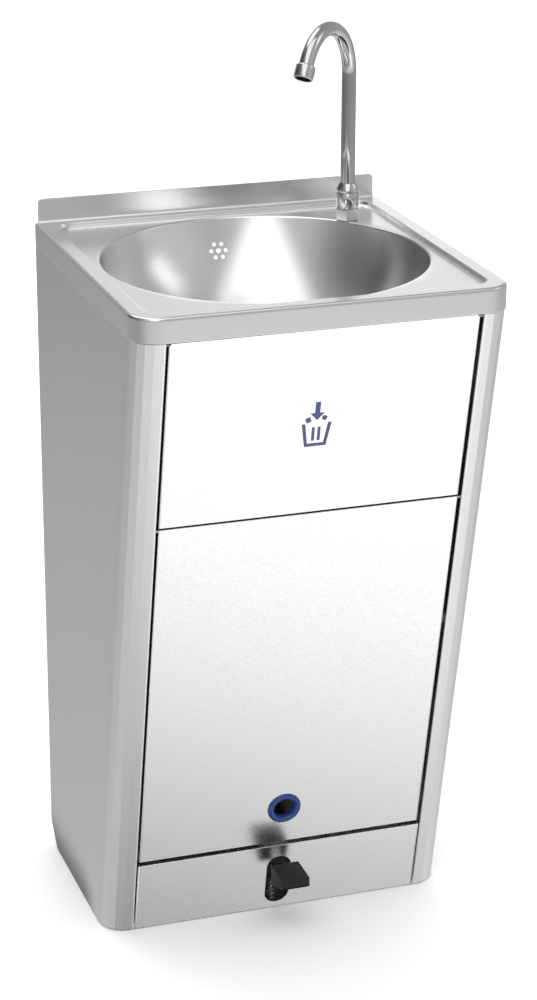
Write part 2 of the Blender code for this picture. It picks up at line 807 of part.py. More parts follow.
def make_door():
    hinge = pivot_frame(DOOR_HIGH)
    place = hinge @ Matrix.Translation((0, -PIVOT_BACK, 0))
    high = PIVOT_DOWN
    low = high - slanted(DOOR_LOW, DOOR_HIGH)
    door = pan("door", LEAF_HALF, low, high, DOOR_DEPTH, STEEL, place)
    cut(door, pin_line(DOOR_HIGH, PIN_HOLE, "door_pin_hole"))
    ring_up = high - slanted(RING_Z, DOOR_HIGH)
    outward = Matrix.Rotation(math.radians(90), 4, "X")
    ring_place = place @ Matrix.Translation((0, 0, ring_up)) @ outward
    hole = bar("ring_hole", (0, 0, -0.03), (0, 0, 0.03), 0.0164, sides=28)
    hole.matrix_world = ring_place
    cut(door, hole)
    ring = [
        (RING_HOLE + 0.0025, -0.0045),
        (RING_HOLE + 0.0025, GAP),
        (RING_OUTER, GAP),
        (RING_OUTER, 0.0012),
        (RING_OUTER - 0.0012, 0.0026),
        (RING_OUTER - 0.0036, 0.0034),
        (RING_OUTER - 0.0064, 0.0028),
        (RING_HOLE, 0.0010),
        (RING_HOLE, -0.0045),
    ]
    turned("finger_ring", ring, BLUE, closed=True, steps=28, place=ring_place)
    make_pin("door_pin_left", DOOR_HIGH, -1)
    make_pin("door_pin_right", DOOR_HIGH, 1)
    back = DOOR_DEPTH + GAP
    strike_low = (-0.020, back, low + 0.0005)
    strike_high = (0.020, back + CATCH_THICK, low + 0.017)
    strike = box("catch_plate", strike_low, strike_high, ZINC, place)
    leg_low = (-0.018, 0.002, low + 0.0016)
    leg = box("catch_leg", leg_low, (0.018, back + 0.001, low + 0.0030), place=place)
    join(strike, leg)
    face = back + CATCH_THICK + 0.0005
    block_low = (-0.018, face, low + 0.003)
    block_high = (0.018, face + 0.013, low + 0.016)
    block = box("magnet_catch", block_low, block_high, WHITE, place)
    foot_z = CAN_SHELF_Z + SHEET + GAP
    join(block, box("catch_foot", (-0.0165, -0.0485, foot_z), (0.0165, -0.0380, 0.1130)))


def make_bin():
    """A tapered tub with a turned-out rim."""
    levels = (
        (0.4096, 0.155, -0.112, -0.030, 0.015),
        (0.5700, 0.165, -0.148, -0.0235, 0.015),
        (0.5715, 0.168, -0.151, -0.0205, 0.018),
        (0.5735, 0.168, -0.151, -0.0205, 0.018),
    )
    rings = []
    for z, half, y0, y1, radius in levels:
        ring = rounded(-half, half, y0, y1, radius, radius, steps=4)
        rings.append([(x, y, z) for x, y in ring])
    tub = loft("waste_bin", rings, GREY, cap_low=True, cap_high=True)
    hollow = []
    for z, half, y0, y1, radius in (levels[0], levels[1], levels[1]):
        inset = 0.002
        ring = rounded(-half + inset, half - inset, y0 + inset, y1 - inset, radius, radius, steps=4)
        hollow.append([(x, y, z + 0.002) for x, y in ring])
    hollow[-1] = [(x, y, 0.60) for x, y, _ in hollow[-1]]
    cut(tub, loft("bin_hollow", hollow, cap_low=True, cap_high=True))


# ---------------------------------------------------------------- cans
def make_can(name, side, finish, hose_hole):
    x = side * CAN_X
    low_z = CAN_SHELF_Z + SHEET + GAP
    can = box(name, (x - 0.083, -0.035, low_z), (x + 0.083, 0.192, CAN_TOP), finish)
    bevel(can, 0.016, 3)
    join(can, bar(name + "_neck", (x, CAN_CAP_Y, CAN_TOP - 0.01), (x, CAN_CAP_Y, 0.3825), 0.021))
    grip_z = 0.386
    route = [(x, -0.010, 0.358), (x, -0.010, grip_z - 0.006), (x, -0.004, grip_z)]
    route += [(x, 0.044, grip_z), (x, 0.050, grip_z - 0.006), (x, 0.050, 0.358)]
    join(can, tube(name + "_grip", route, 0.006, None, 2))
    cap = [
        (hose_hole, 0.3834),
        (hose_hole, 0.3870),
        (0.0245, 0.3870),
        (0.0255, 0.3860),
        (0.0255, 0.3695),
        (0.0216, 0.3695),
        (0.0216, 0.3834),
    ]
    place = Matrix.Translation((x, CAN_CAP_Y, 0))
    turned(name + "_cap", cap, BLACK, closed=True, steps=20, place=place)


# ---------------------------------------------------------------- pedal and pump
def make_pedal():
    arm = [
        (PUMP_Y + 0.008, 0.0260),
        (PUMP_Y + 0.008, 0.0340),
        (PEDAL_Y + 0.009, 0.0340),
        (PEDAL_Y + 0.005, 0.0380),
        (PEDAL_Y - 0.005, 0.0380),
        (PEDAL_Y - 0.009, 0.0364),
        (-0.0500, 0.0500),
        (-0.0860, 0.0775),
        (-0.0975, 0.0775),
        (-0.0975, 0.0700),
        (-0.0870, 0.0655),
        (-0.0530, 0.0400),
        (PEDAL_Y - 0.009, 0.0255),
        (PEDAL_Y - 0.005, 0.0215),
        (PEDAL_Y + 0.005, 0.0215),
        (PEDAL_Y + 0.009, 0.0260),
    ]
    lever = plate("pedal_arm", [arm], 0.012, ZINC, SIDEWAYS)
    bevel(lever, 0.0008, 1)
    pin = (-0.03, PEDAL_Y, PEDAL_Z), (0.03, PEDAL_Y, PEDAL_Z)
    cut(lever, bar("arm_bore", *pin, 0.0043))
    pad = [
        (-0.0840, 0.0800),
        (-0.0855, 0.0815),
        (-0.1270, 0.0803),
        (-0.1285, 0.0790),
        (-0.1285, 0.0700),
        (-0.1265, 0.0665),
        (-0.0880, 0.0536),
        (-0.0860, 0.0536),
        (-0.0840, 0.0560),
    ]
    shoe = plate("pedal_pad", [pad], 0.036, BLACK, SIDEWAYS)
    bevel(shoe, 0.0012, 2)
    pocket = [(-0.0978, 0.0697), (-0.0978, 0.0778), (-0.0700, 0.0778), (-0.0700, 0.0530)]
    pocket += [(-0.0872, 0.0652)]
    cut(shoe, plate("pad_pocket", [pocket], 0.0126, place=SIDEWAYS))
    bracket = box("pedal_bracket", (-0.0165, -0.008, 0.0018), (0.0165, 0.030, 0.0400), ZINC)
    cut(bracket, box("bracket_gap", (-0.0065 - GAP, -0.1, 0.0038), (0.0065 + GAP, 0.1, 0.1)))
    for side in (-1, 1):
        x0, x1 = sorted((side * 0.0088, side * 0.1))
        cut(bracket, box("bracket_side", (x0, -0.1, 0.0038), (x1, 0.1, 0.1)))
    cut(bracket, bar("bracket_bore", *pin, 0.0043))
    bar("pedal_pin", (-0.0130, PEDAL_Y, PEDAL_Z), (0.0130, PEDAL_Y, PEDAL_Z), 0.0040, ZINC)
    turns = 5
    steps = 8
    low = 0.0026
    high = 0.0312
    route = []
    for i in range(turns * steps + 1):
        turn = 2 * math.pi * i / steps
        rise = low + (high - low) * i / (turns * steps)
        route.append((0.0055 * math.cos(turn), SPRING_Y + 0.0055 * math.sin(turn), rise))
    tube("return_spring", route, 0.0007, ZINC, 1)


def make_pump():
    body = [
        (0.0120, 0.0520),
        (0.0120, 0.0930),
        (0.0, 0.0930),
        (0.0, 0.0985),
        (0.0180, 0.0985),
        (0.0180, 0.0520),
    ]
    place = Matrix.Translation((0, PUMP_Y, 0))
    pump = turned("pump_body", body, WHITE, steps=24, closed=True, place=place)
    join(pump, box("pump_flange", (-0.026, PUMP_Y - 0.026, 0.0965), (0.026, PUMP_Y + 0.026, 0.1006)))
    for side in (-1, 1):
        start = (side * 0.0165, PUMP_Y, 0.0880)
        join(pump, bar("pump_port", start, (side * 0.0300, PUMP_Y, 0.0880), 0.0045, sides=16))
    rod = [
        (0.0, 0.0348),
        (0.0020, 0.0351),
        (0.0038, 0.0358),
        (0.0052, 0.0367),
        (0.0060, 0.0376),
        (0.0060, 0.0395),
        (0.0040, 0.0410),
        (0.0040, 0.0560),
        (0.0116, 0.0560),
        (0.0116, 0.0660),
        (0.0, 0.0660),
    ]
    turned("pump_rod", rod, ZINC, steps=24, place=place)
    route = flow(
        [
            (0.0303, PUMP_Y, 0.0880),
            (0.0450, PUMP_Y + 0.004, 0.0880),
            (0.0560, PUMP_Y + 0.040, 0.0860),
            (0.0450, 0.1700, 0.0780),
            (0.0280, 0.2020, 0.0820),
            (0.0250, 0.2075, 0.1010),
            (0.0250, 0.2085, 0.1400),
            (0.0250, 0.2085, 0.3600),
            (0.0450, 0.1950, 0.4300),
            (0.0900, 0.1350, 0.4500),
            (CAN_X, CAN_CAP_Y, 0.4250),
            (CAN_X, CAN_CAP_Y, 0.3835),
        ],
        3,
    )
    tube("suction_hose", route, 0.0050, HOSE, 2)
    route = flow(
        [
            (-0.0303, PUMP_Y, 0.0880),
            (-0.0450, PUMP_Y + 0.004, 0.0880),
            (-0.0560, PUMP_Y + 0.040, 0.0860),
            (-0.0450, 0.1700, 0.0780),
            (-0.0280, 0.2020, 0.0820),
            (-0.0250, 0.2075, 0.1010),
            (-0.0250, 0.2085, 0.1400),
            (-0.0250, 0.2060, 0.5600),
            (0.0150, 0.2040, 0.6400),
            (0.1000, 0.1950, 0.7000),
            (0.1480, 0.1600, 0.7350),
            (TAP_X, TAP_Y, 0.7700),
            (TAP_X, TAP_Y, 0.7996),
        ],
        3,
    )
    tube("supply_hose", route, 0.0050, HOSE, 2)


def make_wheels():
    profile = [
        (0.0, -0.2040),
        (0.0060, -0.2040),
        (0.0060, -0.2022),
        (0.0040, -0.2022),
        (0.0040, 0.2022),
        (0.0060, 0.2022),
        (0.0060, 0.2040),
        (0.0, 0.2040),
    ]
    across = Matrix.Translation((0, WHEEL_Y, WHEEL_Z)) @ Matrix.Rotation(math.radians(90), 4, "Y")
    turned("wheel_axle", profile, ZINC, steps=20, place=across)
    hub = [
        (0.0044, -0.0115),
        (0.0080, -0.0115),
        (0.0100, -0.0070),
        (0.0185, -0.0070),
        (0.0185, 0.0070),
        (0.0100, 0.0070),
        (0.0080, 0.0115),
        (0.0044, 0.0115),
    ]
    tyre = [
        (0.0188, -0.0085),
        (0.0235, -0.0085),
        (WHEEL_RADIUS, -0.0055),
        (WHEEL_RADIUS, 0.0055),
        (0.0235, 0.0085),
        (0.0188, 0.0085),
    ]
    for name, side in (("left", -1), ("right", 1)):
        place = Matrix.Translation((side * WHEEL_X, WHEEL_Y, WHEEL_Z))
        place = place @ Matrix.Rotation(math.radians(90), 4, "Y")
        turned("wheel_hub_" + name, hub, GREY, closed=True, steps=20, place=place)
        turned("wheel_tyre_" + name, tyre, RUBBER, closed=True, steps=24, place=place)


def hang_on(name, axis_place, pieces):
    """An empty on a joint's axis, carrying the pieces that move there."""
    empty = bpy.data.objects.new(name, None)
    PARTS.objects.link(empty)
    empty.empty_display_size = 0.02
    empty.matrix_world = axis_place
    for piece in pieces:
        obj = bpy.data.objects[piece]
        obj.parent = empty
        obj.matrix_parent_inverse = axis_place.inverted()


def hang_moving_pieces():
    tap = Matrix.Translation((TAP_X, TAP_Y, FLOOR_Z))
    hang_on("spout_axis", tap, ["faucet_spout", "aerator_shell", "aerator_screen"])
    hang_on("flap_axis", pivot_frame(FLAP_HIGH), ["flap"])
    hang_on("door_axis", pivot_frame(DOOR_HIGH), ["door", "finger_ring", "catch_plate"])
    hang_on("pedal_axis", Matrix.Translation((0, PEDAL_Y, PEDAL_Z)), ["pedal_arm", "pedal_pad"])
    hang_on("pump_axis", Matrix.Translation((0, PUMP_Y, 0)), ["pump_rod"])
    for name, side in (("left", -1), ("right", 1)):
        wheel = Matrix.Translation((side * WHEEL_X, WHEEL_Y, WHEEL_Z))
        hang_on(f"wheel_{name}_axis", wheel, [f"wheel_hub_{name}", f"wheel_tyre_{name}"])
    for name, side in (("fresh", 1), ("waste", -1)):
        cap = Matrix.Translation((side * CAN_X, CAN_CAP_Y, CAN_TOP))
        hang_on(f"{name}_cap_axis", cap, [f"{name}_can_cap"])


make_worktop()
make_bowl()
make_drain()
make_overflow()
make_tap()
make_side_panel("left_side_panel", -1)
make_side_panel("right_side_panel", 1)
make_rear_panel()
make_base_plate()
make_shelves()
make_top_rail()
make_kick_panel()
make_flap()
make_door()
make_bin()
make_can("fresh_can", 1, WHITE, 0.0066)
make_can("waste_can", -1, GREY, 0.0152)
make_pedal()
make_pump()
make_wheels()
hang_moving_pieces()
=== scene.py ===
"""Looks of the portable handwash sink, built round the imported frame.

Metres, +X right, -Y front, +Z up. A profile is a list of (radius, height) to turn about an axis.
"""

import json
import math

import bmesh
import bpy
from mathutils import Matrix, Vector

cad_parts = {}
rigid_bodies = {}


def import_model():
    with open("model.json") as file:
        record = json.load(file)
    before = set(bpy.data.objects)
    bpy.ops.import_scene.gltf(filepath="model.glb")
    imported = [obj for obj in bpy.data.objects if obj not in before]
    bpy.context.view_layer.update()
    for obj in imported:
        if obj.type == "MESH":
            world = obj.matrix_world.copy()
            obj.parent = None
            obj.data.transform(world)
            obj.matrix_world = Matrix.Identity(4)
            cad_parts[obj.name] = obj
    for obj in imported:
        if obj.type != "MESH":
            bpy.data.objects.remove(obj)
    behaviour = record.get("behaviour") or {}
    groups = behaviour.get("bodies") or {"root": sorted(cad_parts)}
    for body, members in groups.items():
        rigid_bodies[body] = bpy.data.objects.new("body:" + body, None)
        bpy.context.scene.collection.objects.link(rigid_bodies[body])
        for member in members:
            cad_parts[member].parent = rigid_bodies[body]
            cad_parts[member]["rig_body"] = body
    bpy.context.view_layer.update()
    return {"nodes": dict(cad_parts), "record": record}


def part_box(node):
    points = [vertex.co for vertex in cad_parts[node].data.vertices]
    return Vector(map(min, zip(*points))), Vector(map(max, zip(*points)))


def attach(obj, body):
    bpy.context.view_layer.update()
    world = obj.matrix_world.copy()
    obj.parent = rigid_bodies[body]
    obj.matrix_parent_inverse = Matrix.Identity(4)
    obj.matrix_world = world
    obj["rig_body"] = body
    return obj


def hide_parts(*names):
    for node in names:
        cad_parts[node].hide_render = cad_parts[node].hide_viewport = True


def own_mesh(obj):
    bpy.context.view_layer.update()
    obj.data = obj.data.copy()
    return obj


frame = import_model()

# ---------------------------------------------------------------- sizes, most as in the CAD model
QUARTER_TURN = math.radians(90)

# basin top: tray, recess, upstand, bowl and overflow
HALF = 0.225
TOP_Z = 0.850
SKIRT_Z = 0.820
SKIRT_HEM = 0.001
SHEET = 0.0012
TRAY_CORNER = 0.033
TRAY_EDGE = 0.0035
TRAY_SQUARE_CORNER = 0.0045
TRAY_LEAST_CORNER = 0.0008
TRAY_EDGE_STEPS = 8
BORDER_LOOP = 0.0008
RECESS_HALF = 0.206
RECESS_REAR = 0.2090
RECESS_CORNER = 0.022
RECESS_DEPTH = 0.005
RECESS_WALL = 0.0045
RECESS_SLOPE = math.radians(62)
RECESS_LOOP = 0.0010
RECESS_FOLD = 0.0010
RECESS_FOLD_STEPS = 5
RECESS_FOOT = 0.0020
RECESS_FOOT_STEPS = 8
FLOOR_Z = TOP_Z - RECESS_DEPTH
UPSTAND_HALF = 0.220
UPSTAND_TOP = 0.879
UPSTAND_THICK = 0.0020
UPSTAND_BEND = 0.002
UPSTAND_BEND_STEPS = 10
UPSTAND_BACK = HALF - 0.0001
UPSTAND_FOOT = 0.0008
UPSTAND_TOE = 0.001
UPSTAND_EDGE = 0.0006
UPSTAND_CORNER = 0.006
UPSTAND_CORNER_STEPS = 8
UPSTAND_PLAIN = 0.012
BOWL_RIM = 0.1983
BOWL_MOUTH = 0.1952
BOWL_MOUTH_Z = 0.842
BOWL_CENTRE_Z = 0.880
BOWL_DROP = 0.1861
BOWL_TILT = math.asin((BOWL_CENTRE_Z - BOWL_MOUTH_Z) / BOWL_DROP)
BOWL_WALL = BOWL_MOUTH / math.cos(BOWL_TILT)
BOWL_LAST = math.radians(79.5)
BOWL_STEPS = 28
BOWL_LIP_STEPS = 7
BOWL_SEAT_Z = 0.6965
BOWL_SEAT_R = 0.0335
BOWL_CURVE_REACH = (0.985, 1.003)
BOWL_CURVE_Z = (BOWL_SEAT_Z + 0.006, BOWL_MOUTH_Z - 0.0002)
BOWL_FACING = 0.9
FLOOR_LOOPS = (0.15, 0.85)
DRAIN_HOLE = 0.0215
OVERFLOW_Z = 0.8059
OVERFLOW_CIRCLE = 0.0095
OVERFLOW_MIDDLE_R = 0.0031
OVERFLOW_RING_R = 0.0027
OVERFLOW_RING_COUNT = 6
DRILL_HALF = 0.008
DRILL_STEPS = 32
CUP_FACE_GAP = 0.0012
CUP_FACE_R = 0.0140
CUP_FACE_THICK = 0.0006
CUP_FACE_EDGE = 0.0001

# tap
TAP_X = 0.155
TAP_Y = 0.140
TAP_YAW = math.radians(225)
TAP_TUBE = 0.009
TAP_TUBE_SIDES = 56
TAP_STRAIGHT_Z = 0.95
TAP_BEND_Z = 1.028
TAP_BEND = 0.065
TAP_BEND_STEPS = 64
TAP_SWEEP = math.radians(150.5)
TAP_TAIL = 0.001
NUT_YAW = math.radians(9.65)
NUT_CORNER_R = 0.0156
NUT_BORE = 0.0083
NUT_EDGE = 0.0007
BODY_TOP = ((0.0096, 0.0), (0.0134, 0.0), (0.0138, -0.0002), (0.0140, -0.0006))
BODY_FOOT = (
    (0.0140, 0.0006),
    (0.0137, 0.0001),
    (0.0131, 0.0),
    (0.0, 0.0),
    (0.0, 0.0060),
    (0.0096, 0.0060),
)
COLLAR_TOP = ((0.0096, 0.0), (0.0099, 0.0), (0.0103, -0.0004))
COLLAR_FOOT = (
    (0.0138, 0.0038),
    (0.0140, 0.0030),
    (0.0140, 0.0005),
    (0.0136, 0.0),
    (0.0096, 0.0),
)
OUTLET = (
    (0.0, 0.0003),
    (0.0100, 0.0003),
    (0.0108, 0.0005),
    (0.0116, 0.0013),
    (0.0120, 0.0022),
    (0.0120, 0.0160),
    (0.0118, 0.0169),
    (0.0112, 0.0175),
    (0.0104, 0.0175),
    (0.0098, 0.0170),
    (0.0096, 0.0160),
    (0.0096, 0.0095),
    (0.0, 0.0095),
)
OUTLET_BORE_R = 0.0097
OUTLET_BORE_FROM = 0.005

# cabinet
LEAN = math.radians(12.1)
SLANT = 1 / math.cos(LEAN)
FRONT_Y0 = -0.0475
SLOPE = math.tan(LEAN)
CAB_HALF = 0.2236
SIDE_HALF = 0.2248
CAB_FACETS = 5
CAB_TOP = 0.8455
CAB_CORNER = 0.0325
CAB_REAR = 0.2233
CHAMFER_Y = 0.196
CHAMFER_Z = 0.031
JAMB_X = 0.188
JAMB_DEPTH = 0.015
REAR_FLANGE = 0.015
REAR_FOLD = 0.002
REAR_FOLD_STEPS = 6
JAMB_FOLD = 0.0016
JAMB_FOLD_STEPS = 5
SKIN_HEM = 0.0006

# flap, door and kick panel, each a folded pan
LEAF_HALF = 0.1844
LEAF_SHIFT = Matrix.Translation((-0.0009, 0, 0))
SIDE_FOLD = 0.0018
TIGHT_FOLD = 0.0007
FOLD_STEPS = 5
FLAP_LOW = 0.5840
FLAP_HIGH = 0.8197
FLAP_DEPTH = 0.010
FLAP_CHAMFER = 0.003
CHAMFER_INSIDE = 0.35
DOOR_LOW = 0.1045
DOOR_HIGH = 0.5820
DOOR_DEPTH = 0.012
DOOR_OPENING = 0.0164
KICK_HALF = 0.1865
KICK_HIGH = 0.0985
KICK_DEPTH = 0.012
SLOT_HALF = 0.016
SLOT_LOW = 0.0085
SLOT_HIGH = 0.081
SLOT_STEPS = 24
CUTTER_DEPTH = 0.10
OPENING_DEPTH = 0.08

# finger ring: heights from the door's face, radii from its outer edge, then from its hole
PIVOT_DOWN = 0.0035
RING_Z = 0.1565
RING_OUTER = 0.0215
RING_HOLE = 0.0135
RING_STEM = RING_HOLE + 0.0025
RING_BACK = -0.0045
RING_FOOT = 0.0003
RING_CROWN = (
    (0.0, 0.0010),
    (-0.0004, 0.0018),
    (-0.0012, 0.0026),
    (-0.0024, 0.0032),
    (-0.0036, 0.0034),
    (-0.0050, 0.0032),
    (-0.0064, 0.0026),
)
RING_THROAT = ((0.0006, 0.0017), (0.0, 0.0008), (0.0, RING_BACK))

# pedal spring
SPRING_Y = -0.030
SPRING_LOW = 0.0026
SPRING_HIGH = 0.0312
SPRING_COIL = 0.0055
SPRING_WIRE = 0.0007
SPRING_WIRE_SIDES = 10
SPRING_TURNS = 5
SPRING_STEPS = 28

# sign on the flap, in its own plane
SIGN_X = -0.004
SIGN_Z = 0.700
SIGN_SINK = 0.00022
SIGN_THICK = 0.00030
SIGN_BASKET = (
    (-0.0180, 0.0010),
    (-0.0130, -0.0290),
    (0.0130, -0.0290),
    (0.0180, 0.0010),
    (0.0138, 0.0010),
    (0.0098, -0.0252),
    (-0.0098, -0.0252),
    (-0.0138, 0.0010),
)
SIGN_BARS_X = (-0.0052, 0.0018)
SIGN_BAR = (0.0034, -0.0215, -0.0040)
SIGN_PAPER_REACH = 0.7
SIGN_PAPERS = ((-0.0105, 0.0060, 0.0062, 20), (0.0090, 0.0075, 0.0056, -25))
SIGN_ARROW = (
    (0.0, 0.0050),
    (0.0085, 0.0145),
    (0.0030, 0.0145),
    (0.0030, 0.0290),
    (-0.0030, 0.0290),
    (-0.0030, 0.0145),
    (-0.0085, 0.0145),
)

UPRIGHT = Matrix.Rotation(QUARTER_TURN, 4, "X")
WELD = 1e-6


# ---------------------------------------------------------------- shader helpers
class Nodes:
    """Short calls for one node tree. An input is a number, a colour or another node's output."""

    def __init__(self, tree):
        self.tree = tree

    def add(self, kind, inputs=(), **settings):
        node = self.tree.nodes.new(kind)
        for name, value in settings.items():
            setattr(node, name, value)
        for key, value in dict(inputs).items():
            if isinstance(value, bpy.types.NodeSocket):
                self.tree.links.new(value, node.inputs[key])
            else:
                node.inputs[key].default_value = value
        return node

    def math(self, operation, a, b=0.0):
        return self.add("ShaderNodeMath", {0: a, 1: b}, operation=operation).outputs[0]

    def dot(self, vector, direction):
        inputs = {0: vector, 1: direction}
        return self.add("ShaderNodeVectorMath", inputs, operation="DOT_PRODUCT").outputs["Value"]

    def fade(self, value, low, high, to_low=0.0, to_high=1.0):
        """Smoothly from to_low at low to to_high at high."""
        inputs = {"Value": value, "From Min": low, "From Max": high}
        inputs.update({"To Min": to_low, "To Max": to_high})
        return self.add("ShaderNodeMapRange", inputs, interpolation_type="SMOOTHSTEP").outputs[0]

    def coords(self, scale=(1, 1, 1)):
        source = self.add("ShaderNodeTexCoord").outputs["Object"]
        return self.add("ShaderNodeMapping", {"Vector": source, "Scale": scale}).outputs[0]

    def noise(self, vector, scale, detail=3.0, roughness=0.5):
        inputs = {"Vector": vector, "Scale": scale, "Detail": detail, "Roughness": roughness}
        return self.add("ShaderNodeTexNoise", inputs).outputs["Fac"]

    def mix(self, factor, a, b):
        node = self.add("ShaderNodeMix", {0: factor}, data_type="RGBA")
        for key, value in ((6, a), (7, b)):
            if isinstance(value, bpy.types.NodeSocket):
                self.tree.links.new(value, node.inputs[key])
            else:
                node.inputs[key].default_value = value
        return node.outputs[2]


def rgba(colour, gain=1.0):
    return (colour[0] * gain, colour[1] * gain, colour[2] * gain, 1.0)


def new_material(name):
    mat = bpy.data.materials.new(name)
    mat.use_nodes = True
    return mat, Nodes(mat.node_tree), mat.node_tree.nodes["Principled BSDF"]


# ---------------------------------------------------------------- materials
EVEN = (1.0, 1.0, 1.0)
ACROSS = (0.25, 1.0, 1.0)
ALONG = (1.0, 0.25, 1.0)
FINE_SCALE = 900.0
FINE_NOISE = (4.0, 0.6)
FINE_SPAN = (0.3, 0.7)
BROAD_NOISE = (7.0, 3.0, 0.5)
SPECKLE_NOISE = (160.0, 2.0, 0.6)
EDGE_SHARPNESS = (0.52, 0.60)
WEAR_BREAKS = (0.35, 0.65)
WEAR_LEAST = 0.3
WEAR_USUAL = 0.15
WEAR_GAIN = 1.25
GRAIN_DEPTH = 0.0002
ROUGH_SPREAD = 0.10
ROUGH_PATCH = 0.12
FOOT_HIGH = 0.08
FOOT_FROM = (-0.015, 0.060)
BOWL_ENDS = (0.168, 0.195)
BOWL_ENDS_ALONG = (0.12, 0.16)
BOWL_ENDS_EDGE = (0.199, 0.203)
BOWL_ENDS_TOP = FLOOR_Z - 0.0005


def surface(
    name,
    colour,
    rough,
    metal=0.0,
    grain=EVEN,
    grain_scale=1.0,
    bump=0.02,
    patch=0.05,
    wear=WEAR_USUAL,
    wear_colour=None,
    specular=0.5,
    foot=1.0,
    ends=1.0,
):
    """A worked surface: fine grain in bump and roughness, broad patches and rubbed edges.

    foot and ends paint shade into its colour: darker near the floor, a painted reflection of a
    dark floor, and darker at the bowl's two ends, painted shade where it would mirror its own far
    wall.
    """
    mat, n, shader = new_material(name)
    fine = n.noise(n.coords(grain), FINE_SCALE * grain_scale, *FINE_NOISE)
    broad = n.noise(n.coords(), *BROAD_NOISE)
    edge = n.fade(n.add("ShaderNodeNewGeometry").outputs["Pointiness"], *EDGE_SHARPNESS)
    speckle = n.noise(n.coords(), *SPECKLE_NOISE)
    broken = n.fade(speckle, *WEAR_BREAKS, WEAR_LEAST, wear / WEAR_USUAL)
    rubbed = n.math("MULTIPLY", edge, broken)
    rubbed = n.math("MULTIPLY", rubbed, wear)
    body = n.mix(broad, rgba(colour, 1.0 - patch), rgba(colour, 1.0 + patch))
    worn = n.mix(rubbed, body, rgba(wear_colour or colour, WEAR_GAIN))
    # painted reflection: the colour darkens near the floor, standing in for a mirrored dark floor
    if foot < 1.0:
        painted_floor_shade = n.fade(n.dot(n.coords(), (0, 0, 1)), 0.0, FOOT_HIGH, 1.0, 0.0)
        painted_floor_shade = n.math("MULTIPLY", painted_floor_shade, painted_floor_shade)
        past_corner = n.fade(n.dot(n.coords(), (0, 1, 0)), *FOOT_FROM)
        worn = n.mix(n.math("MULTIPLY", painted_floor_shade, past_corner), worn, rgba(colour, foot))
    # painted shade: the colour darkens at the bowl's two ends below the rim, standing in for its
    # dark far wall seen in reflection
    if ends < 1.0:
        aside = n.math("ABSOLUTE", n.dot(n.coords(), (1, 0, 0)))
        along = n.math("ABSOLUTE", n.dot(n.coords(), (0, 1, 0)))
        aside_in = n.fade(aside, *BOWL_ENDS)
        along_in = n.fade(along, *BOWL_ENDS_ALONG, 1.0, 0.0)
        painted_end_shade = n.math("MULTIPLY", aside_in, along_in)
        painted_end_shade = n.math("MULTIPLY", painted_end_shade, n.fade(aside, *BOWL_ENDS_EDGE, 1.0, 0.0))
        level = n.dot(n.coords(), (0, 0, 1))
        inside = n.fade(level, BOWL_MOUTH_Z, BOWL_ENDS_TOP, 1.0, 0.0)
        worn = n.mix(n.math("MULTIPLY", painted_end_shade, inside), worn, rgba(colour, ends))
    n.tree.links.new(worn, shader.inputs["Base Color"])
    spread = (rough * (1 - ROUGH_SPREAD), rough * (1 + ROUGH_SPREAD))
    uneven = n.fade(fine, *FINE_SPAN, *spread)
    patches = n.math("MULTIPLY", broad, rough * ROUGH_PATCH)
    n.tree.links.new(n.math("ADD", uneven, patches), shader.inputs["Roughness"])
    shader.inputs["Metallic"].default_value = metal
    shader.inputs["Specular IOR Level"].default_value = specular
    inputs = {"Strength": bump, "Distance": GRAIN_DEPTH, "Height": fine}
    relief = n.add("ShaderNodeBump", inputs)
    n.tree.links.new(relief.outputs[0], shader.inputs["Normal"])
    return mat


STEEL_TONE = (0.885, 0.885, 0.880)
# SIDE_TONE is a touch darker than STEEL_TONE: painted shade, the side panels darker than the
# front as they mirror a darker part of the studio
SIDE_TONE = (0.85, 0.855, 0.855)
# ends=0.45 paints shade into the bowl's two ends
BOWL_STEEL = surface(
    "bowl_steel", STEEL_TONE, 0.22, 1.0, EVEN, 0.8, 0.012, patch=0.02, wear=0.05, ends=0.45
)
PANEL_STEEL = surface(
    "panel_steel", STEEL_TONE, 0.26, 1.0, ACROSS, 0.8, 0.0014, patch=0.01, wear=0.05
)
# foot=0.22 paints the side steel darker near the floor: a painted reflection of the dark floor
SIDE_STEEL = surface(
    "side_steel", SIDE_TONE, 0.30, 1.0, ALONG, 0.8, 0.015, patch=0.01, wear=0.05, foot=0.22
)
INNER_STEEL = surface("inner_steel", (0.86, 0.86, 0.86), 0.45, 1.0, ACROSS, 0.6, 0.10, wear=0.1)
ZINC = surface(
    "zinc_plate", (0.60, 0.61, 0.62), 0.42, 1.0, EVEN, 0.3, 0.20, patch=0.12, wear=0.3
)
CHROME = surface(
    "chrome_plate", (0.66, 0.67, 0.67), 0.045, 1.0, EVEN, 0.2, 0.004, patch=0.01, wear=0.05
)
BLACK = surface(
    "black_moulded",
    (0.010, 0.010, 0.011),
    0.46,
    grain_scale=1.3,
    bump=0.12,
    patch=0.08,
    wear=0.12,
    wear_colour=(0.05, 0.05, 0.05),
    specular=0.3,
)
WHITE = surface("white_moulded", (0.80, 0.80, 0.78), 0.40, bump=0.12)
CUP_WHITE_PAINTED_GLOW = surface("cup_white_painted_glow", (0.95, 0.95, 0.95), 0.5, bump=0.05, patch=0.01, wear=0.02)
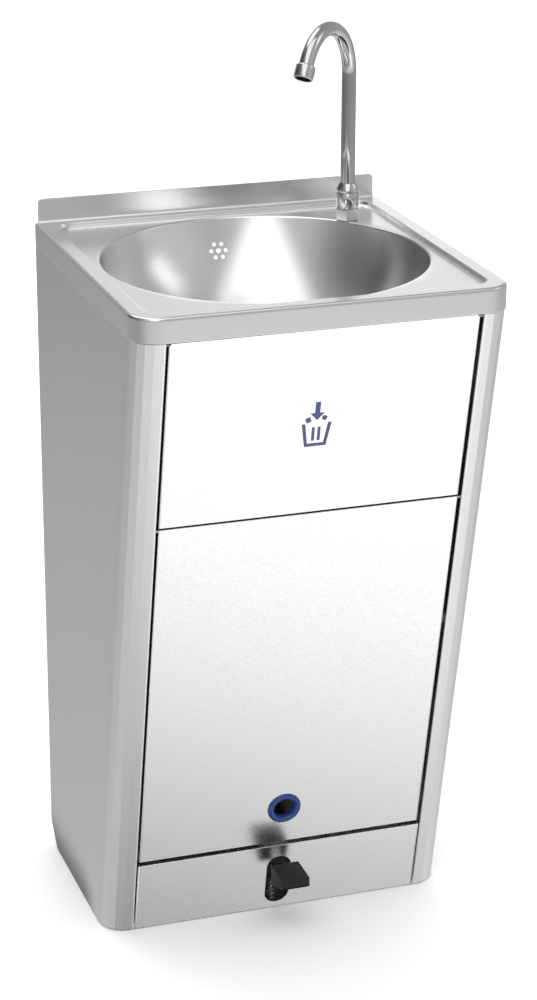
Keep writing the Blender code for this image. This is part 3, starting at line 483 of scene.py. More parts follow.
# painted light: the cup's white face glows faintly, though it is no lamp
CUP_PAINTED_GLOW = CUP_WHITE_PAINTED_GLOW.node_tree.nodes["Principled BSDF"].inputs
CUP_PAINTED_GLOW["Emission Color"].default_value = (1, 1, 1, 1)
CUP_PAINTED_GLOW["Emission Strength"].default_value = 0.45
BLUE = surface(
    "blue_moulded",
    (0.014, 0.046, 0.190),
    0.28,
    bump=0.10,
    patch=0.08,
    wear_colour=(0.05, 0.10, 0.28),
)
GREY = surface("grey_moulded", (0.24, 0.25, 0.26), 0.45, bump=0.15, patch=0.08)
RUBBER = surface(
    "black_rubber",
    (0.028, 0.028, 0.028),
    0.75,
    grain_scale=0.8,
    bump=0.35,
    patch=0.2,
    wear_colour=(0.08, 0.08, 0.08),
)
HOSE = surface("hose_rubber", (0.52, 0.55, 0.56), 0.35, grain_scale=0.5, bump=0.15, patch=0.06)
INK = surface("sign_ink", (0.060, 0.077, 0.215), 0.38, grain_scale=1.2, bump=0.15, patch=0.05)
FINISH = {
    "brushed_steel": INNER_STEEL,
    "zinc_steel": ZINC,
    "chrome": CHROME,
    "black_plastic": BLACK,
    "white_plastic": WHITE,
    "blue_plastic": BLUE,
    "grey_plastic": GREY,
    "black_rubber": RUBBER,
    "hose_rubber": HOSE,
}


# ---------------------------------------------------------------- mesh helpers
def link(mesh, name, mat):
    obj = bpy.data.objects.new(name, mesh)
    mesh.materials.clear()
    if mat:
        mesh.materials.append(mat)
    bpy.context.scene.collection.objects.link(obj)
    return obj


def smooth(obj, angle=40):
    obj.data.shade_smooth()
    obj.data.set_sharp_from_angle(angle=math.radians(angle))


def weighted(obj):
    modifier = obj.modifiers.new("normals", "WEIGHTED_NORMAL")
    modifier.keep_sharp = True


def bevel(obj, width, segments=3, angle=40):
    modifier = obj.modifiers.new("bevel", "BEVEL")
    modifier.width = width
    modifier.segments = segments
    modifier.limit_method = "ANGLE"
    modifier.angle_limit = math.radians(angle)
    modifier.harden_normals = True


def solidify(obj):
    modifier = obj.modifiers.new("solidify", "SOLIDIFY")
    modifier.thickness = SHEET
    modifier.offset = -1.0
    modifier.use_even_offset = True


def loft(name, rings, mat, cyclic=True, cap_low=False, cap_high=False, angle=40):
    """Rings of points with equal counts joined by quads, the first at the bottom or outside."""
    count = len(rings[0])
    points = [point for ring in rings for point in ring]
    faces = []
    for level in range(len(rings) - 1):
        low = level * count
        high = low + count
        for i in range(count if cyclic else count - 1):
            j = (i + 1) % count
            faces.append((low + i, low + j, high + j, high + i))
    if cap_low:
        faces.append(tuple(reversed(range(count))))
    if cap_high:
        faces.append(tuple(range(len(points) - count, len(points))))
    mesh = bpy.data.meshes.new(name)
    mesh.from_pydata(points, [], faces)
    obj = link(mesh, name, mat)
    smooth(obj, angle)
    return obj


def turned(name, profile, mat, place, steps=96):
    """A closed profile turned about local Z."""
    area = 0.0
    for (r0, z0), (r1, z1) in zip(profile, profile[1:] + profile[:1]):
        area += r0 * z1 - r1 * z0
    if area < 0:
        profile = profile[::-1]
    shape = bmesh.new()
    rings = []
    for r, z in profile:
        if r < WELD:
            rings.append([shape.verts.new((0.0, 0.0, z))])
            continue
        turn = 2 * math.pi / steps
        ring = [(r * math.cos(i * turn), r * math.sin(i * turn), z) for i in range(steps)]
        rings.append([shape.verts.new(point) for point in ring])
    for one, two in zip(rings, rings[1:] + rings[:1]):
        for i in range(steps):
            j = (i + 1) % steps
            corners = [one[k % len(one)] for k in (i, j)] + [two[k % len(two)] for k in (j, i)]
            corners = list(dict.fromkeys(corners))
            if len(corners) > 2:
                shape.faces.new(corners)
    mesh = bpy.data.meshes.new(name)
    shape.to_mesh(mesh)
    shape.free()
    mesh.transform(place)
    obj = link(mesh, name, mat)
    smooth(obj)
    return obj


def tube(name, route, radius, mat, sides=40):
    """A round tube along close points, its section carried along without twist."""
    points = [Vector(point) for point in route]
    along = (points[1] - points[0]).normalized()
    across = along.orthogonal().normalized()
    rings = []
    for i, point in enumerate(points):
        before = points[max(i - 1, 0)]
        after = points[min(i + 1, len(points) - 1)]
        new = (after - before).normalized()
        across = (along.rotation_difference(new) @ across).normalized()
        along = new
        other = along.cross(across)
        ring = []
        for k in range(sides):
            turn = 2 * math.pi * k / sides
            ring.append(point + radius * (math.cos(turn) * across + math.sin(turn) * other))
        rings.append(ring)
    return loft(name, rings, mat, cap_low=True, cap_high=True, angle=60)


def plate(name, outlines, thickness, mat, place):
    """A flat outline in local XY with its holes after it, the thickness centred on the plane."""
    curve = bpy.data.curves.new(name, "CURVE")
    curve.dimensions = "2D"
    curve.fill_mode = "BOTH"
    curve.extrude = thickness / 2
    for outline in outlines:
        spline = curve.splines.new("POLY")
        spline.points.add(len(outline) - 1)
        for point, (x, y) in zip(spline.points, outline):
            point.co = (x, y, 0.0, 1.0)
        spline.use_cyclic_u = True
    source = bpy.data.objects.new(name + "_curve", curve)
    bpy.context.scene.collection.objects.link(source)
    graph = bpy.context.evaluated_depsgraph_get()
    mesh = bpy.data.meshes.new_from_object(source.evaluated_get(graph))
    bpy.data.objects.remove(source)
    shape = bmesh.new()
    shape.from_mesh(mesh)
    bmesh.ops.remove_doubles(shape, verts=shape.verts, dist=WELD)
    bmesh.ops.recalc_face_normals(shape, faces=shape.faces)
    bmesh.ops.transform(shape, matrix=place, verts=shape.verts)
    shape.to_mesh(mesh)
    shape.free()
    mesh.name = name
    obj = link(mesh, name, mat)
    smooth(obj)
    return obj


def raised(profile, height):
    return [(r, z + height) for r, z in profile]


def arc(x, y, radius, start, end, steps):
    """Points on an arc, angles in degrees."""
    found = []
    for i in range(steps + 1):
        angle = math.radians(start + (end - start) * i / steps)
        found.append((x + radius * math.cos(angle), y + radius * math.sin(angle)))
    return found


def circle(radius, x=0.0, y=0.0, count=48, start=0.0):
    turn = 2 * math.pi / count
    return [
        (x + radius * math.cos(start + i * turn), y + radius * math.sin(start + i * turn))
        for i in range(count)
    ]


def front_y(z):
    return FRONT_Y0 - SLOPE * z


def front_frame(z):
    """Local X across, Y inward and Z up the leaning front, from its face at height z."""
    return Matrix.Translation((0, front_y(z), z)) @ Matrix.Rotation(LEAN, 4, "X")


def piece(obj, body, slot, *nodes):
    """Rides on a body and stands for CAD nodes, hiding them; the slot is not used."""
    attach(obj, body)
    if nodes:
        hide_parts(*nodes)
    return obj


# ---------------------------------------------------------------- basin top
CORNER_STEPS = 12
EDGE_STEPS = 36


def outline(x0, x1, y0, y1, front, rear):
    """A rounded rectangle, anticlockwise from its rear right corner, each side evenly divided."""
    corners = (
        arc(x1 - rear, y1 - rear, rear, 0, 90, CORNER_STEPS),
        arc(x0 + rear, y1 - rear, rear, 90, 180, CORNER_STEPS),
        arc(x0 + front, y0 + front, front, 180, 270, CORNER_STEPS),
        arc(x1 - front, y0 + front, front, 270, 360, CORNER_STEPS),
    )
    points = []
    for here, after in zip(corners, corners[1:] + corners[:1]):
        points += here
        start = Vector(here[-1])
        end = Vector(after[0])
        for i in range(1, EDGE_STEPS):
            points.append(tuple(start.lerp(end, i / EDGE_STEPS)))
    return points


def tray_ring(inset, z):
    front = TRAY_CORNER - inset
    rear = max(TRAY_SQUARE_CORNER - inset, TRAY_LEAST_CORNER)
    side = HALF - inset
    return [(x, y, z) for x, y in outline(-side, side, -side, side, front, rear)]


def recess_ring(inset, z):
    side = RECESS_HALF - inset
    radius = RECESS_CORNER - inset
    ring = outline(-side, side, -side, RECESS_REAR - inset, radius, radius)
    return [(x, y, z) for x, y in ring]


def round_ring(radius, z):
    """A circle whose points face those of the recess."""
    ring = []
    for x, y, _ in recess_ring(RECESS_WALL, z):
        length = math.hypot(x, y)
        ring.append((radius * x / length, radius * y / length, z))
    return ring


def between(one, two, share):
    return [tuple(Vector(a).lerp(Vector(b), share)) for a, b in zip(one, two)]


def recess_profile():
    """(inset, drop) from the border to the recess: a tight fold, a steep wall, an easier fold."""
    points = []
    for i in range(RECESS_FOLD_STEPS + 1):
        turn = RECESS_SLOPE * i / RECESS_FOLD_STEPS
        points.append((RECESS_FOLD * math.sin(turn), RECESS_FOLD * (1 - math.cos(turn))))
    for i in range(RECESS_FOOT_STEPS + 1):
        turn = RECESS_SLOPE * (1 - i / RECESS_FOOT_STEPS)
        inset = RECESS_WALL - RECESS_FOOT * math.sin(turn)
        points.append((inset, RECESS_DEPTH - RECESS_FOOT * (1 - math.cos(turn))))
    return points


def basin_rings():
    """From the skirt's lower edge over the border and recess, and down the bowl to its drain."""
    rings = [tray_ring(0, SKIRT_Z), tray_ring(0, SKIRT_Z + SKIRT_HEM)]
    rings.append(tray_ring(0, TOP_Z - TRAY_EDGE - SKIRT_HEM))
    for i in range(TRAY_EDGE_STEPS + 1):
        turn = QUARTER_TURN * i / TRAY_EDGE_STEPS
        inset = TRAY_EDGE * (1 - math.cos(turn))
        rings.append(tray_ring(inset, TOP_Z - TRAY_EDGE + TRAY_EDGE * math.sin(turn)))
    rings.append(tray_ring(TRAY_EDGE + BORDER_LOOP, TOP_Z))
    rings.append(recess_ring(-RECESS_LOOP, TOP_Z))
    for inset, drop in recess_profile():
        rings.append(recess_ring(inset, TOP_Z - drop))
    edge = recess_ring(RECESS_WALL, FLOOR_Z)
    rim = round_ring(BOWL_RIM, FLOOR_Z)
    rings += [between(edge, rim, share) for share in FLOOR_LOOPS]
    for i in range(BOWL_LIP_STEPS + 1):
        turn = QUARTER_TURN * i / BOWL_LIP_STEPS
        radius = BOWL_RIM - (BOWL_RIM - BOWL_MOUTH) * math.sin(turn)
        drop = (FLOOR_Z - BOWL_MOUTH_Z) * (1 - math.cos(turn))
        rings.append(round_ring(radius, FLOOR_Z - drop))
    for i in range(1, BOWL_STEPS + 1):
        turn = BOWL_TILT + (BOWL_LAST - BOWL_TILT) * i / BOWL_STEPS
        radius = BOWL_WALL * math.cos(turn)
        rings.append(round_ring(radius, BOWL_CENTRE_Z - BOWL_DROP * math.sin(turn)))
    rings.append(round_ring(BOWL_SEAT_R, BOWL_SEAT_Z))
    rings.append(round_ring(DRAIN_HOLE, BOWL_SEAT_Z))
    return rings


def make_basin_top():
    top = loft("basin_top", basin_rings(), BOWL_STEEL, angle=60)
    solidify(top)
    sine = (BOWL_CENTRE_Z - OVERFLOW_Z) / BOWL_DROP
    wall_y = BOWL_WALL * math.sqrt(1 - sine**2)
    normal = Vector((0, wall_y / BOWL_WALL**2, (OVERFLOW_Z - BOWL_CENTRE_Z) / BOWL_DROP**2))
    normal.normalize()
    rise = normal.cross(Vector((-1, 0, 0)))
    middle = Vector((0, wall_y, OVERFLOW_Z))
    spots = [(middle, OVERFLOW_MIDDLE_R)]
    for i in range(OVERFLOW_RING_COUNT):
        turn = math.radians(360 * i / OVERFLOW_RING_COUNT)
        side = Vector((1, 0, 0)) * math.cos(turn) + rise * math.sin(turn)
        spots.append((middle + OVERFLOW_CIRCLE * side, OVERFLOW_RING_R))
    aim = normal.to_track_quat("Z", "Y").to_matrix().to_4x4()
    for spot, radius in spots:
        profile = [(0.0, -DRILL_HALF), (radius, -DRILL_HALF)]
        profile += [(radius, DRILL_HALF), (0.0, DRILL_HALF)]
        place = Matrix.Translation(spot) @ aim
        cut(top, turned("overflow_drill", profile, None, place, DRILL_STEPS))
    true_bowl_normals(top)
    make_cup_face(middle, aim)
    return piece(top, "cabinet", "brushed_steel", "worktop", "bowl")


def make_cup_face(middle, aim):
    """The overflow cup's white face, close behind the holes. It glows a little: painted light
    that keeps the holes white.
    """
    place = Matrix.Translation((0, 0, SHEET + CUP_FACE_GAP))
    face = plate("cup_face", [circle(CUP_FACE_R, count=40)], CUP_FACE_THICK, CUP_WHITE_PAINTED_GLOW, place)
    face.data.transform(Matrix.Translation(middle) @ aim)
    bevel(face, CUP_FACE_EDGE, 1)
    piece(face, "cabinet", "white_plastic")


def bowl_inward(spot):
    """Towards the inside from a point on the bowl's curve."""
    slope = Vector((-spot.x, -spot.y, 0)) / BOWL_WALL**2
    slope.z = (BOWL_CENTRE_Z - spot.z) / BOWL_DROP**2
    return slope.normalized()


def on_bowl_wall(face):
    middle = face.center
    x, y = middle.x / BOWL_WALL, middle.y / BOWL_WALL
    reach = Vector((x, y, (middle.z - BOWL_CENTRE_Z) / BOWL_DROP)).length
    on_curve = BOWL_CURVE_REACH[0] < reach < BOWL_CURVE_REACH[1]
    in_height = BOWL_CURVE_Z[0] < middle.z < BOWL_CURVE_Z[1]
    return on_curve and in_height and face.normal.dot(bowl_inward(middle)) >= BOWL_FACING


def true_bowl_normals(top):
    """Takes the normals of the bowl's inner face from its curve: drilled holes leave no mark."""
    mesh = top.data
    normals = [(0.0, 0.0, 0.0)] * len(mesh.loops)
    for face in mesh.polygons:
        if on_bowl_wall(face):
            for loop in face.loop_indices:
                spot = mesh.vertices[mesh.loops[loop].vertex_index].co
                normals[loop] = tuple(bowl_inward(spot))
    mesh.normals_split_custom_set(normals)


def cut(obj, cutter):
    """Cuts at once, so that no helper is left."""
    modifier = obj.modifiers.new("cut", "BOOLEAN")
    modifier.operation = "DIFFERENCE"
    modifier.solver = "EXACT"
    modifier.object = cutter
    graph = bpy.context.evaluated_depsgraph_get()
    mesh = bpy.data.meshes.new_from_object(obj.evaluated_get(graph))
    obj.modifiers.clear()
    obj.data = mesh
    bpy.data.objects.remove(cutter)


def make_upstand():
    """The upright at the back with its bend, one sheet folded from the worktop's rear border."""
    face = UPSTAND_BACK - UPSTAND_THICK
    low = TOP_Z - UPSTAND_FOOT
    shoulder = UPSTAND_TOP - UPSTAND_EDGE
    section = [(UPSTAND_BACK, low), (UPSTAND_BACK, shoulder)]
    section += [(UPSTAND_BACK - UPSTAND_EDGE, UPSTAND_TOP), (face + UPSTAND_EDGE, UPSTAND_TOP)]
    section += [(face, shoulder)]
    bend = (face - UPSTAND_BEND, TOP_Z + UPSTAND_BEND)
    section += arc(*bend, UPSTAND_BEND, 0, -90, UPSTAND_BEND_STEPS)
    section += [(face - UPSTAND_BEND - UPSTAND_TOE, low)]
    ends = []
    for side in (-1, 1):
        rings = []
        for i in range(UPSTAND_CORNER_STEPS + 1):
            turn = QUARTER_TURN * i / UPSTAND_CORNER_STEPS
            most = UPSTAND_TOP - UPSTAND_CORNER * (1 - math.sin(turn))
            x = side * (UPSTAND_HALF - UPSTAND_CORNER * (1 - math.cos(turn)))
            ring = [(x, y, min(z, most) if z > TOP_Z + UPSTAND_PLAIN else z) for y, z in section]
            rings.append(ring)
        ends.append(rings)
    rings = ends[0] + ends[1][::-1]
    obj = loft("upstand", rings, BOWL_STEEL, cap_low=True, cap_high=True, angle=50)
    recalc(obj)
    weighted(obj)
    return piece(obj, "cabinet", "brushed_steel")


def recalc(obj):
    shape = bmesh.new()
    shape.from_mesh(obj.data)
    bmesh.ops.recalc_face_normals(shape, faces=shape.faces)
    shape.to_mesh(obj.data)
    shape.free()


# ---------------------------------------------------------------- tap
def make_tap():
    here = Matrix.Translation((TAP_X, TAP_Y, 0))
    nut_low, nut_high = (corner.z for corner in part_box("faucet_nut"))
    outlines = [circle(NUT_CORNER_R, count=6, start=NUT_YAW), circle(NUT_BORE)]
    place = here @ Matrix.Translation((0, 0, (nut_low + nut_high) / 2))
    nut = plate("tap_nut", outlines, nut_high - nut_low, CHROME, place)
    bevel(nut, NUT_EDGE, 3)
    piece(nut, "cabinet", "chrome", "faucet_nut")
    low, high = (corner.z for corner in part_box("faucet_body"))
    body = raised(BODY_TOP, high) + raised(BODY_FOOT, low)
    piece(turned("tap_body", body, CHROME, here), "cabinet", "chrome", "faucet_body")
    low, high = (corner.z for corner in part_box("faucet_collar"))
    collar = raised(COLLAR_TOP, high) + raised(COLLAR_FOOT, low)
    piece(turned("tap_collar", collar, CHROME, here), "cabinet", "chrome", "faucet_collar")
    make_spout()


def make_spout():
    """The swan neck and its outlet, aimed down at the bowl."""
    out = Vector((math.cos(TAP_YAW), math.sin(TAP_YAW), 0))
    foot = Vector((TAP_X, TAP_Y, 0))
    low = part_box("faucet_spout")[0].z
    route = [foot + Vector((0, 0, low)), foot + Vector((0, 0, TAP_STRAIGHT_Z))]
    for i in range(TAP_BEND_STEPS + 1):
        turn = TAP_SWEEP * i / TAP_BEND_STEPS
        across = TAP_BEND * (1 - math.cos(turn))
        rise = Vector((0, 0, TAP_BEND_Z + TAP_BEND * math.sin(turn)))
        route.append(foot + across * out + rise)
    down = out * math.sin(TAP_SWEEP) + Vector((0, 0, math.cos(TAP_SWEEP)))
    end = route[-1] + TAP_TAIL * down
    spout = tube("spout_tube", route + [end], TAP_TUBE, CHROME, TAP_TUBE_SIDES)
    piece(spout, "spout", "chrome", "faucet_spout")
    aim = Matrix.Translation(end) @ down.to_track_quat("Z", "Y").to_matrix().to_4x4()
    outlet = turned("outlet_shell", list(OUTLET), CHROME, aim)
    outlet.data.materials.append(BLACK)
    axis = aim.to_3x3() @ Vector((0, 0, 1))
    for face in outlet.data.polygons:
        away = face.center - end
        deep = away.dot(axis)
        if (away - deep * axis).length < OUTLET_BORE_R and deep > OUTLET_BORE_FROM:
            face.material_index = 1
    piece(outlet, "spout", "chrome", "aerator_shell")


# ---------------------------------------------------------------- side panels
def panel_section(z, side):
    """Plan of a side panel's outer face at height z: flange, side, front corner, folded jamb."""
    front = front_y(min(z, SKIRT_Z))
    rear = CAB_REAR
    if z < CHAMFER_Z:
        rear = CHAMFER_Y + (CAB_REAR - CHAMFER_Y) * z / CHAMFER_Z
    points = [(CAB_HALF - REAR_FLANGE, rear)]
    points += arc(CAB_HALF - REAR_FOLD, rear - REAR_FOLD, REAR_FOLD, 90, 0, REAR_FOLD_STEPS)
    middle = CAB_HALF - CAB_CORNER
    points += arc(middle, front + CAB_CORNER, CAB_CORNER, 0, -90, CAB_FACETS)
    points += arc(JAMB_X + JAMB_FOLD, front + JAMB_FOLD, JAMB_FOLD, -90, -180, JAMB_FOLD_STEPS)
    points += [(JAMB_X, front + JAMB_DEPTH)]
    bulge = (SIDE_HALF - CAB_HALF + CAB_CORNER) / CAB_CORNER
    ring = []
    for x, y in points:
        if x > middle:
            x = middle + (x - middle) * bulge
        ring.append((side * x, y, z))
    return ring


def make_side_skin(name, side, node):
    levels = (0.0, SKIN_HEM, CHAMFER_Z, SKIRT_Z, CAB_TOP)
    rings = [panel_section(z, side) for z in levels]
    skin = loft(name, rings, SIDE_STEEL, cyclic=False, angle=15)
    if side > 0:
        skin.data.flip_normals()
    solidify(skin)
    weighted(skin)
    return piece(skin, "cabinet", "brushed_steel", node)


# ---------------------------------------------------------------- door ring, pedal and sign
def make_ring():
    up = PIVOT_DOWN - (DOOR_HIGH - RING_Z) / math.cos(LEAN)
    hinge = front_frame(DOOR_HIGH) @ Matrix.Translation((0, 0, -PIVOT_DOWN))
    place = hinge @ Matrix.Translation((0, 0, up)) @ UPRIGHT
    ring = [(RING_STEM, RING_BACK), (RING_STEM, RING_FOOT), (RING_OUTER, RING_FOOT)]
    ring += [(RING_OUTER + r, z) for r, z in RING_CROWN]
    ring += [(RING_HOLE + r, z) for r, z in RING_THROAT]
    piece(turned("ring_pull", ring, BLUE, place), "door", "blue_plastic", "finger_ring")


def make_spring():
    route = []
    for i in range(SPRING_TURNS * SPRING_STEPS + 1):
        turn = 2 * math.pi * i / SPRING_STEPS
        rise = SPRING_LOW + (SPRING_HIGH - SPRING_LOW) * i / (SPRING_TURNS * SPRING_STEPS)
        x, y = SPRING_COIL * math.cos(turn), SPRING_COIL * math.sin(turn)
        route.append((x, SPRING_Y + y, rise))
    coil = tube("spring_coil", route, SPRING_WIRE, ZINC, SPRING_WIRE_SIDES)
    piece(coil, "cabinet", "zinc_steel", "return_spring")
    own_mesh(coil)


def make_sign():
    """A generic waste mark: a basket, falling paper and an arrow. No figure and no lettering."""
    place = front_frame(SIGN_Z) @ Matrix.Translation((SIGN_X, -SIGN_SINK, 0)) @ UPRIGHT
    shapes = [SIGN_BASKET]
    width, low, high = SIGN_BAR
    for x in SIGN_BARS_X:
        shapes.append([(x, low), (x + width, low), (x + width, high), (x, high)])
    for x, y, size, turn in SIGN_PAPERS:
        reach = size * SIGN_PAPER_REACH
        shapes.append(circle(reach, x, y, count=4, start=math.radians(turn + 45)))
    shapes.append(SIGN_ARROW)
    sign = plate("waste_sign", shapes, SIGN_THICK, INK, place)
    return piece(sign, "flap", "blue_plastic")


def pan_outline(half, low, high, chamfer):
    if not chamfer:
        return [(half, low), (half, high), (-half, high), (-half, low)]
    points = [(half, low), (half, high - chamfer), (half - chamfer, high)]
    return points + [(-half + chamfer, high), (-half, high - chamfer), (-half, low)]


def fold_edges(leaf, depth):
    """Rounds the front edges: wide folds at the sides and tight ones above and below."""
    weights = leaf.data.attributes.new("bevel_weight_edge", "FLOAT", "EDGE")
    for edge in leaf.data.edges:
        one, two = (leaf.data.vertices[i].co for i in edge.vertices)
        if max(one.y, two.y) < depth / 2:
            upright = abs(one.x - two.x) < 10 * WELD
            weights.data[edge.index].value = 1.0 if upright else TIGHT_FOLD / SIDE_FOLD
    modifier = leaf.modifiers.new("folds", "BEVEL")
    modifier.width = SIDE_FOLD
    modifier.segments = FOLD_STEPS
    modifier.limit_method = "WEIGHT"


def make_leaf(name, node, body, size, place, chamfer=0.0, openings=()):
    """A folded sheet pan, hollow behind. Its size is its half width, low, high and depth."""
    half, low, high, depth = size
    local = Matrix.Translation((0, depth / 2, 0)) @ UPRIGHT
    leaf = plate(name, [pan_outline(half, low, high, chamfer)], depth, PANEL_STEEL, local)
    fold_edges(leaf, depth)
    inner = half - SHEET
    top = high - SHEET - CHAMFER_INSIDE * chamfer
    corners = [(-inner, low + SHEET), (inner, low + SHEET), (inner, top), (-inner, top)]
    behind = Matrix.Translation((0, CUTTER_DEPTH / 2 + SHEET, 0)) @ UPRIGHT
    cut(leaf, plate(name + "_hollow", [corners], CUTTER_DEPTH, None, behind))
    for shape in openings:
        cut(leaf, plate(name + "_opening", [shape], OPENING_DEPTH, None, UPRIGHT))
    leaf.data.transform(place)
    smooth(leaf, 30)
    weighted(leaf)
    return piece(leaf, body, "brushed_steel", node)


def make_leaves():
    place = LEAF_SHIFT @ front_frame(FLAP_HIGH)
    size = (LEAF_HALF, (FLAP_LOW - FLAP_HIGH) * SLANT, 0.0, FLAP_DEPTH)
    make_leaf("flap_skin", "flap", "flap", size, place, chamfer=FLAP_CHAMFER)
    place = LEAF_SHIFT @ front_frame(DOOR_HIGH)
    ring = circle(DOOR_OPENING, 0.0, (RING_Z - DOOR_HIGH) * SLANT, 64)
    size = (LEAF_HALF, (DOOR_LOW - DOOR_HIGH) * SLANT, 0.0, DOOR_DEPTH)
    make_leaf("door_skin", "door", "door", size, place, openings=[ring])
    low_end = SLOT_LOW * SLANT + SLOT_HALF
    high_end = SLOT_HIGH * SLANT - SLOT_HALF
    slot = arc(0, high_end, SLOT_HALF, 0, 180, SLOT_STEPS)
    slot += arc(0, low_end, SLOT_HALF, 180, 360, SLOT_STEPS)
    size = (KICK_HALF, 0.0, KICK_HIGH * SLANT, KICK_DEPTH)
    make_leaf("kick_skin", "kick_panel", "cabinet", size, front_frame(0), openings=[slot])


# ---------------------------------------------------------------- CAD nodes with a finer surface
# the rear panel takes the side steel, painted floor shade included
EXACT_FINISH = {"rear_panel": SIDE_STEEL}
SMOOTH_ANGLE = {"pedal_pad": 50, "fresh_can": 50, "waste_can": 50}
FINE_WELD = 2e-6
FLAT_ANGLE = math.radians(0.3)
SHEET_EDGE = 0.0003
PAD_EDGE = 0.0010
SHARP_EDGED = (
    "catch_plate",
    "base_plate",
    "can_shelf",
    "bin_shelf",
    "rear_panel",
    "top_rail",
    "magnet_catch",
    "pedal_bracket",
)


def make_fine(node, slot):
    """A welded copy of a CAD node: its round faces shade as round, folded sheet gets edges."""
    source = frame["nodes"][node]
    mesh = source.data.copy()
    mesh.name = node + "_fine"
    shape = bmesh.new()
    shape.from_mesh(mesh)
    bmesh.ops.remove_doubles(shape, verts=shape.verts, dist=FINE_WELD)
    bmesh.ops.dissolve_limit(
        shape, angle_limit=FLAT_ANGLE, verts=shape.verts, edges=shape.edges
    )
    shape.to_mesh(mesh)
    shape.free()
    if mesh.has_custom_normals:
        mesh.normals_split_custom_set([(0.0, 0.0, 0.0)] * len(mesh.loops))
    mat = EXACT_FINISH.get(node, FINISH[slot])
    obj = link(mesh, node + "_fine", mat)
    smooth(obj, SMOOTH_ANGLE.get(node, 40))
    if node == "pedal_pad":
        bevel(obj, PAD_EDGE, 3, 25)
    elif node in SHARP_EDGED:
        bevel(obj, SHEET_EDGE, 2, 50)
    else:
        weighted(obj)
    return piece(obj, source["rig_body"], slot, node)


# ---------------------------------------------------------------- stage
def direction(azimuth, elevation):
    """A unit vector: azimuth 0 is behind the sink and 90 to its right, in degrees."""
    a = math.radians(azimuth)
    e = math.radians(elevation)
    return (math.sin(a) * math.cos(e), math.cos(a) * math.cos(e), math.sin(e))


def lobe(n, view, azimuth, elevation, inner, outer, strength):
    """A round patch of light, even out to inner degrees and gone at outer."""
    near = n.dot(view, direction(azimuth, elevation))
    low = math.cos(math.radians(outer))
    high = math.cos(math.radians(inner))
    return n.fade(near, low, high, 0.0, strength)


STRIP_AHEAD = (-0.05, 0.05)


def strip(n, view, height, azimuth, edge, widen, rise, fall, strength):
    """An upright strip of light, widening by widen with height, between two heights."""
    off = n.math("ABSOLUTE", n.dot(view, direction(azimuth + 90, 0)))
    off = n.math("SUBTRACT", off, n.math("MULTIPLY", height, widen))
    band = n.fade(off, *edge, 1.0, 0.0)
    ahead = n.dot(view, direction(azimuth, 0))
    band = n.math("MULTIPLY", band, n.fade(ahead, *STRIP_AHEAD))
    band = n.math("MULTIPLY", band, n.fade(height, *rise))
    band = n.math("MULTIPLY", band, n.fade(height, *fall, 1.0, 0.0))
    return n.math("MULTIPLY", band, strength)


# each lobe: azimuth, elevation, even out to, gone at, strength
FRONT_LOBE = (180, -22, 12, 80, 0.31)
REAR_LOBE = (22, 0, 10, 21, 0.92)
LOW_LOBE = (155, -36, 8, 17, 0.56)
REAR_LEFT_SHADE = (-35, 8, 12, 40, -0.12)
TOP_LOBE = (-15, 58, 12, 26, 1.5)
LEFT_SHADE = (-73.6, 6.4, 19.8, 59.4, -0.352)
RIGHT_LOBE = (120, 28, 2.2, 38.7, 0.164)
# each strip: azimuth, half width and its soft edge, widen, rise, fall, strength
FRONT_STRIP = (-163, (0.004, 0.198), 0.377, (-0.06, 0.168), (2.0, 3.0), 0.95)
RIGHT_STRIP = (103.4, (0.00, 0.254), 0.0, (0.283, 0.388), (0.573, 0.761), 0.86)
# the open studio, by the sine of the elevation
FLOOR_GLOW = (-0.78, -0.34, 0.80, 0.50)
HORIZON_SHADE = (-0.36, -0.20, 0.0, 0.19)
NADIR_SHADE = (-0.79, -0.709, 0.77, 0.0)
LOW_TO_RIGHT = 0.07
HIGH_LEVEL = 0.508
HIGH_BY_HEIGHT = -0.178
HIGH_TO_RIGHT = -0.069
HORIZON = (-0.16, 0.02)
# the heights at which a lobe sets in or dies out
FRONT_FALL = (-0.30, -0.20, 1.0, 0.0)
FRONT_RISE = (-0.80, -0.70)
REAR_RISE = (-0.06, 0.00)
REAR_LEFT_RISE = (-0.02, 0.06)
LEFT_RISE = (-0.30, 0.10)


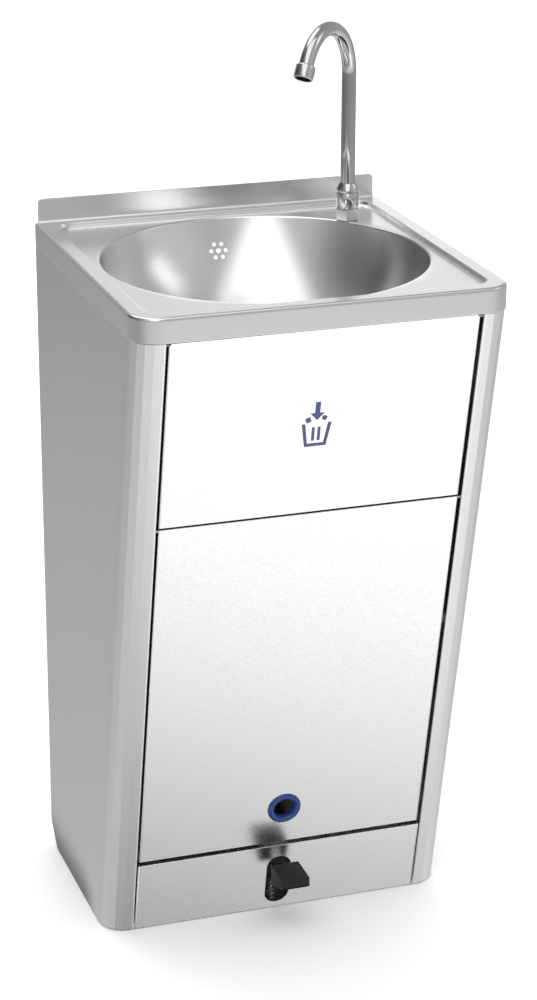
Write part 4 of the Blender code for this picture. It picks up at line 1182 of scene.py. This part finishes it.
def make_world():
    """A grey studio, paler low in front, with round and upright patches of light and shade."""
    world = bpy.data.worlds.new("studio")
    bpy.context.scene.world = world
    world.use_nodes = True
    world.node_tree.nodes.clear()
    n = Nodes(world.node_tree)
    view = n.add("ShaderNodeTexCoord").outputs["Generated"]
    height = n.dot(view, (0, 0, 1))
    across = n.dot(view, (1, 0, 0))
    low = n.fade(height, *FLOOR_GLOW)
    low = n.math("SUBTRACT", low, n.fade(height, *HORIZON_SHADE))
    low = n.math("SUBTRACT", low, n.fade(height, *NADIR_SHADE))
    low = n.math("ADD", low, n.math("MULTIPLY", across, LOW_TO_RIGHT))
    high = n.math("ADD", HIGH_LEVEL, n.math("MULTIPLY", height, HIGH_BY_HEIGHT))
    high = n.math("ADD", high, n.math("MULTIPLY", across, HIGH_TO_RIGHT))
    rise = n.fade(height, *HORIZON)
    total = n.math("ADD", low, n.math("MULTIPLY", rise, n.math("SUBTRACT", high, low)))
    front = lobe(n, view, *FRONT_LOBE)
    front = n.math("MULTIPLY", front, n.fade(height, *FRONT_FALL))
    front = n.math("MULTIPLY", front, n.fade(height, *FRONT_RISE))
    behind = lobe(n, view, *REAR_LOBE)
    behind = n.math("MULTIPLY", behind, n.fade(height, *REAR_RISE))
    rear_left = lobe(n, view, *REAR_LEFT_SHADE)
    left = lobe(n, view, *LEFT_SHADE)
    parts = [
        front,
        behind,
        lobe(n, view, *LOW_LOBE),
        n.math("MULTIPLY", rear_left, n.fade(height, *REAR_LEFT_RISE)),
        lobe(n, view, *TOP_LOBE),
        n.math("MULTIPLY", left, n.fade(height, *LEFT_RISE)),
        lobe(n, view, *RIGHT_LOBE),
        strip(n, view, height, *FRONT_STRIP),
        strip(n, view, height, *RIGHT_STRIP),
    ]
    for part in parts:
        total = n.math("ADD", total, part)
    studio = n.add("ShaderNodeBackground", {"Color": (1, 1, 1, 1), "Strength": total})
    white = n.add("ShaderNodeBackground", {"Color": (1, 1, 1, 1), "Strength": 1.0})
    seen = n.add("ShaderNodeLightPath").outputs["Is Camera Ray"]
    inputs = {0: seen, 1: studio.outputs[0], 2: white.outputs[0]}
    mixed = n.add("ShaderNodeMixShader", inputs)
    n.add("ShaderNodeOutputWorld", {"Surface": mixed.outputs[0]})


FLOOR_HALF = 20.0
FLOOR_SINK = 0.0005
FLOOR_TONE = (0.93, 0.93, 0.93)
LAMP_ENERGY = 2.5
LAMP_SPREAD = math.radians(100)
LAMP_TILT = (math.radians(-13), math.radians(7), 0)


def make_stage():
    far = FLOOR_HALF
    mesh = bpy.data.meshes.new("floor")
    corners = [(-far, -far, 0), (far, -far, 0), (far, far, 0), (-far, far, 0)]
    mesh.from_pydata(corners, [], [(0, 1, 2, 3)])
    mat = surface("floor_white", FLOOR_TONE, 0.9, patch=0.0, wear=0.0, bump=0.0)
    floor = link(mesh, "floor", mat)
    floor.location.z = -FLOOR_SINK
    floor.visible_glossy = False
    lamp = bpy.data.lights.new("soft_top", "SUN")
    lamp.energy = LAMP_ENERGY
    lamp.angle = LAMP_SPREAD
    light = bpy.data.objects.new("soft_top", lamp)
    light.rotation_euler = LAMP_TILT
    light.visible_glossy = False
    bpy.context.scene.collection.objects.link(light)


CAMERA_SPOT = (-0.98302, -2.92016, 1.6803)
CAMERA_RIGHT = Vector((0.94760657, -0.31942254, 0.00332172))
CAMERA_UP = Vector((0.10811589, 0.33048941, 0.93759677))
CAMERA_LENS = 96.577
CAMERA_SENSOR = 36.0
CAMERA_CLIP = (0.05, 100.0)


def make_camera():
    lens = bpy.data.cameras.new("camera")
    lens.lens = CAMERA_LENS
    lens.sensor_width = CAMERA_SENSOR
    lens.clip_start, lens.clip_end = CAMERA_CLIP
    camera = bpy.data.objects.new("camera", lens)
    back = CAMERA_RIGHT.cross(CAMERA_UP)
    place = Matrix((CAMERA_RIGHT, CAMERA_UP, back)).transposed().to_4x4()
    place.translation = CAMERA_SPOT
    camera.matrix_world = place
    bpy.context.scene.collection.objects.link(camera)
    bpy.context.scene.camera = camera


make_world()
make_stage()
make_camera()
bpy.context.scene.view_settings.view_transform = "Standard"
make_basin_top()
make_upstand()
make_tap()
make_side_skin("left_side_skin", -1, "left_side_panel")
make_side_skin("right_side_skin", 1, "right_side_panel")
make_leaves()
make_ring()
make_spring()
make_sign()
SLOTS = {part["node"]: part["material_slot"] for part in frame["record"]["subparts"]}
for node, source in frame["nodes"].items():
    if not source.hide_render:
        make_fine(node, SLOTS[node])
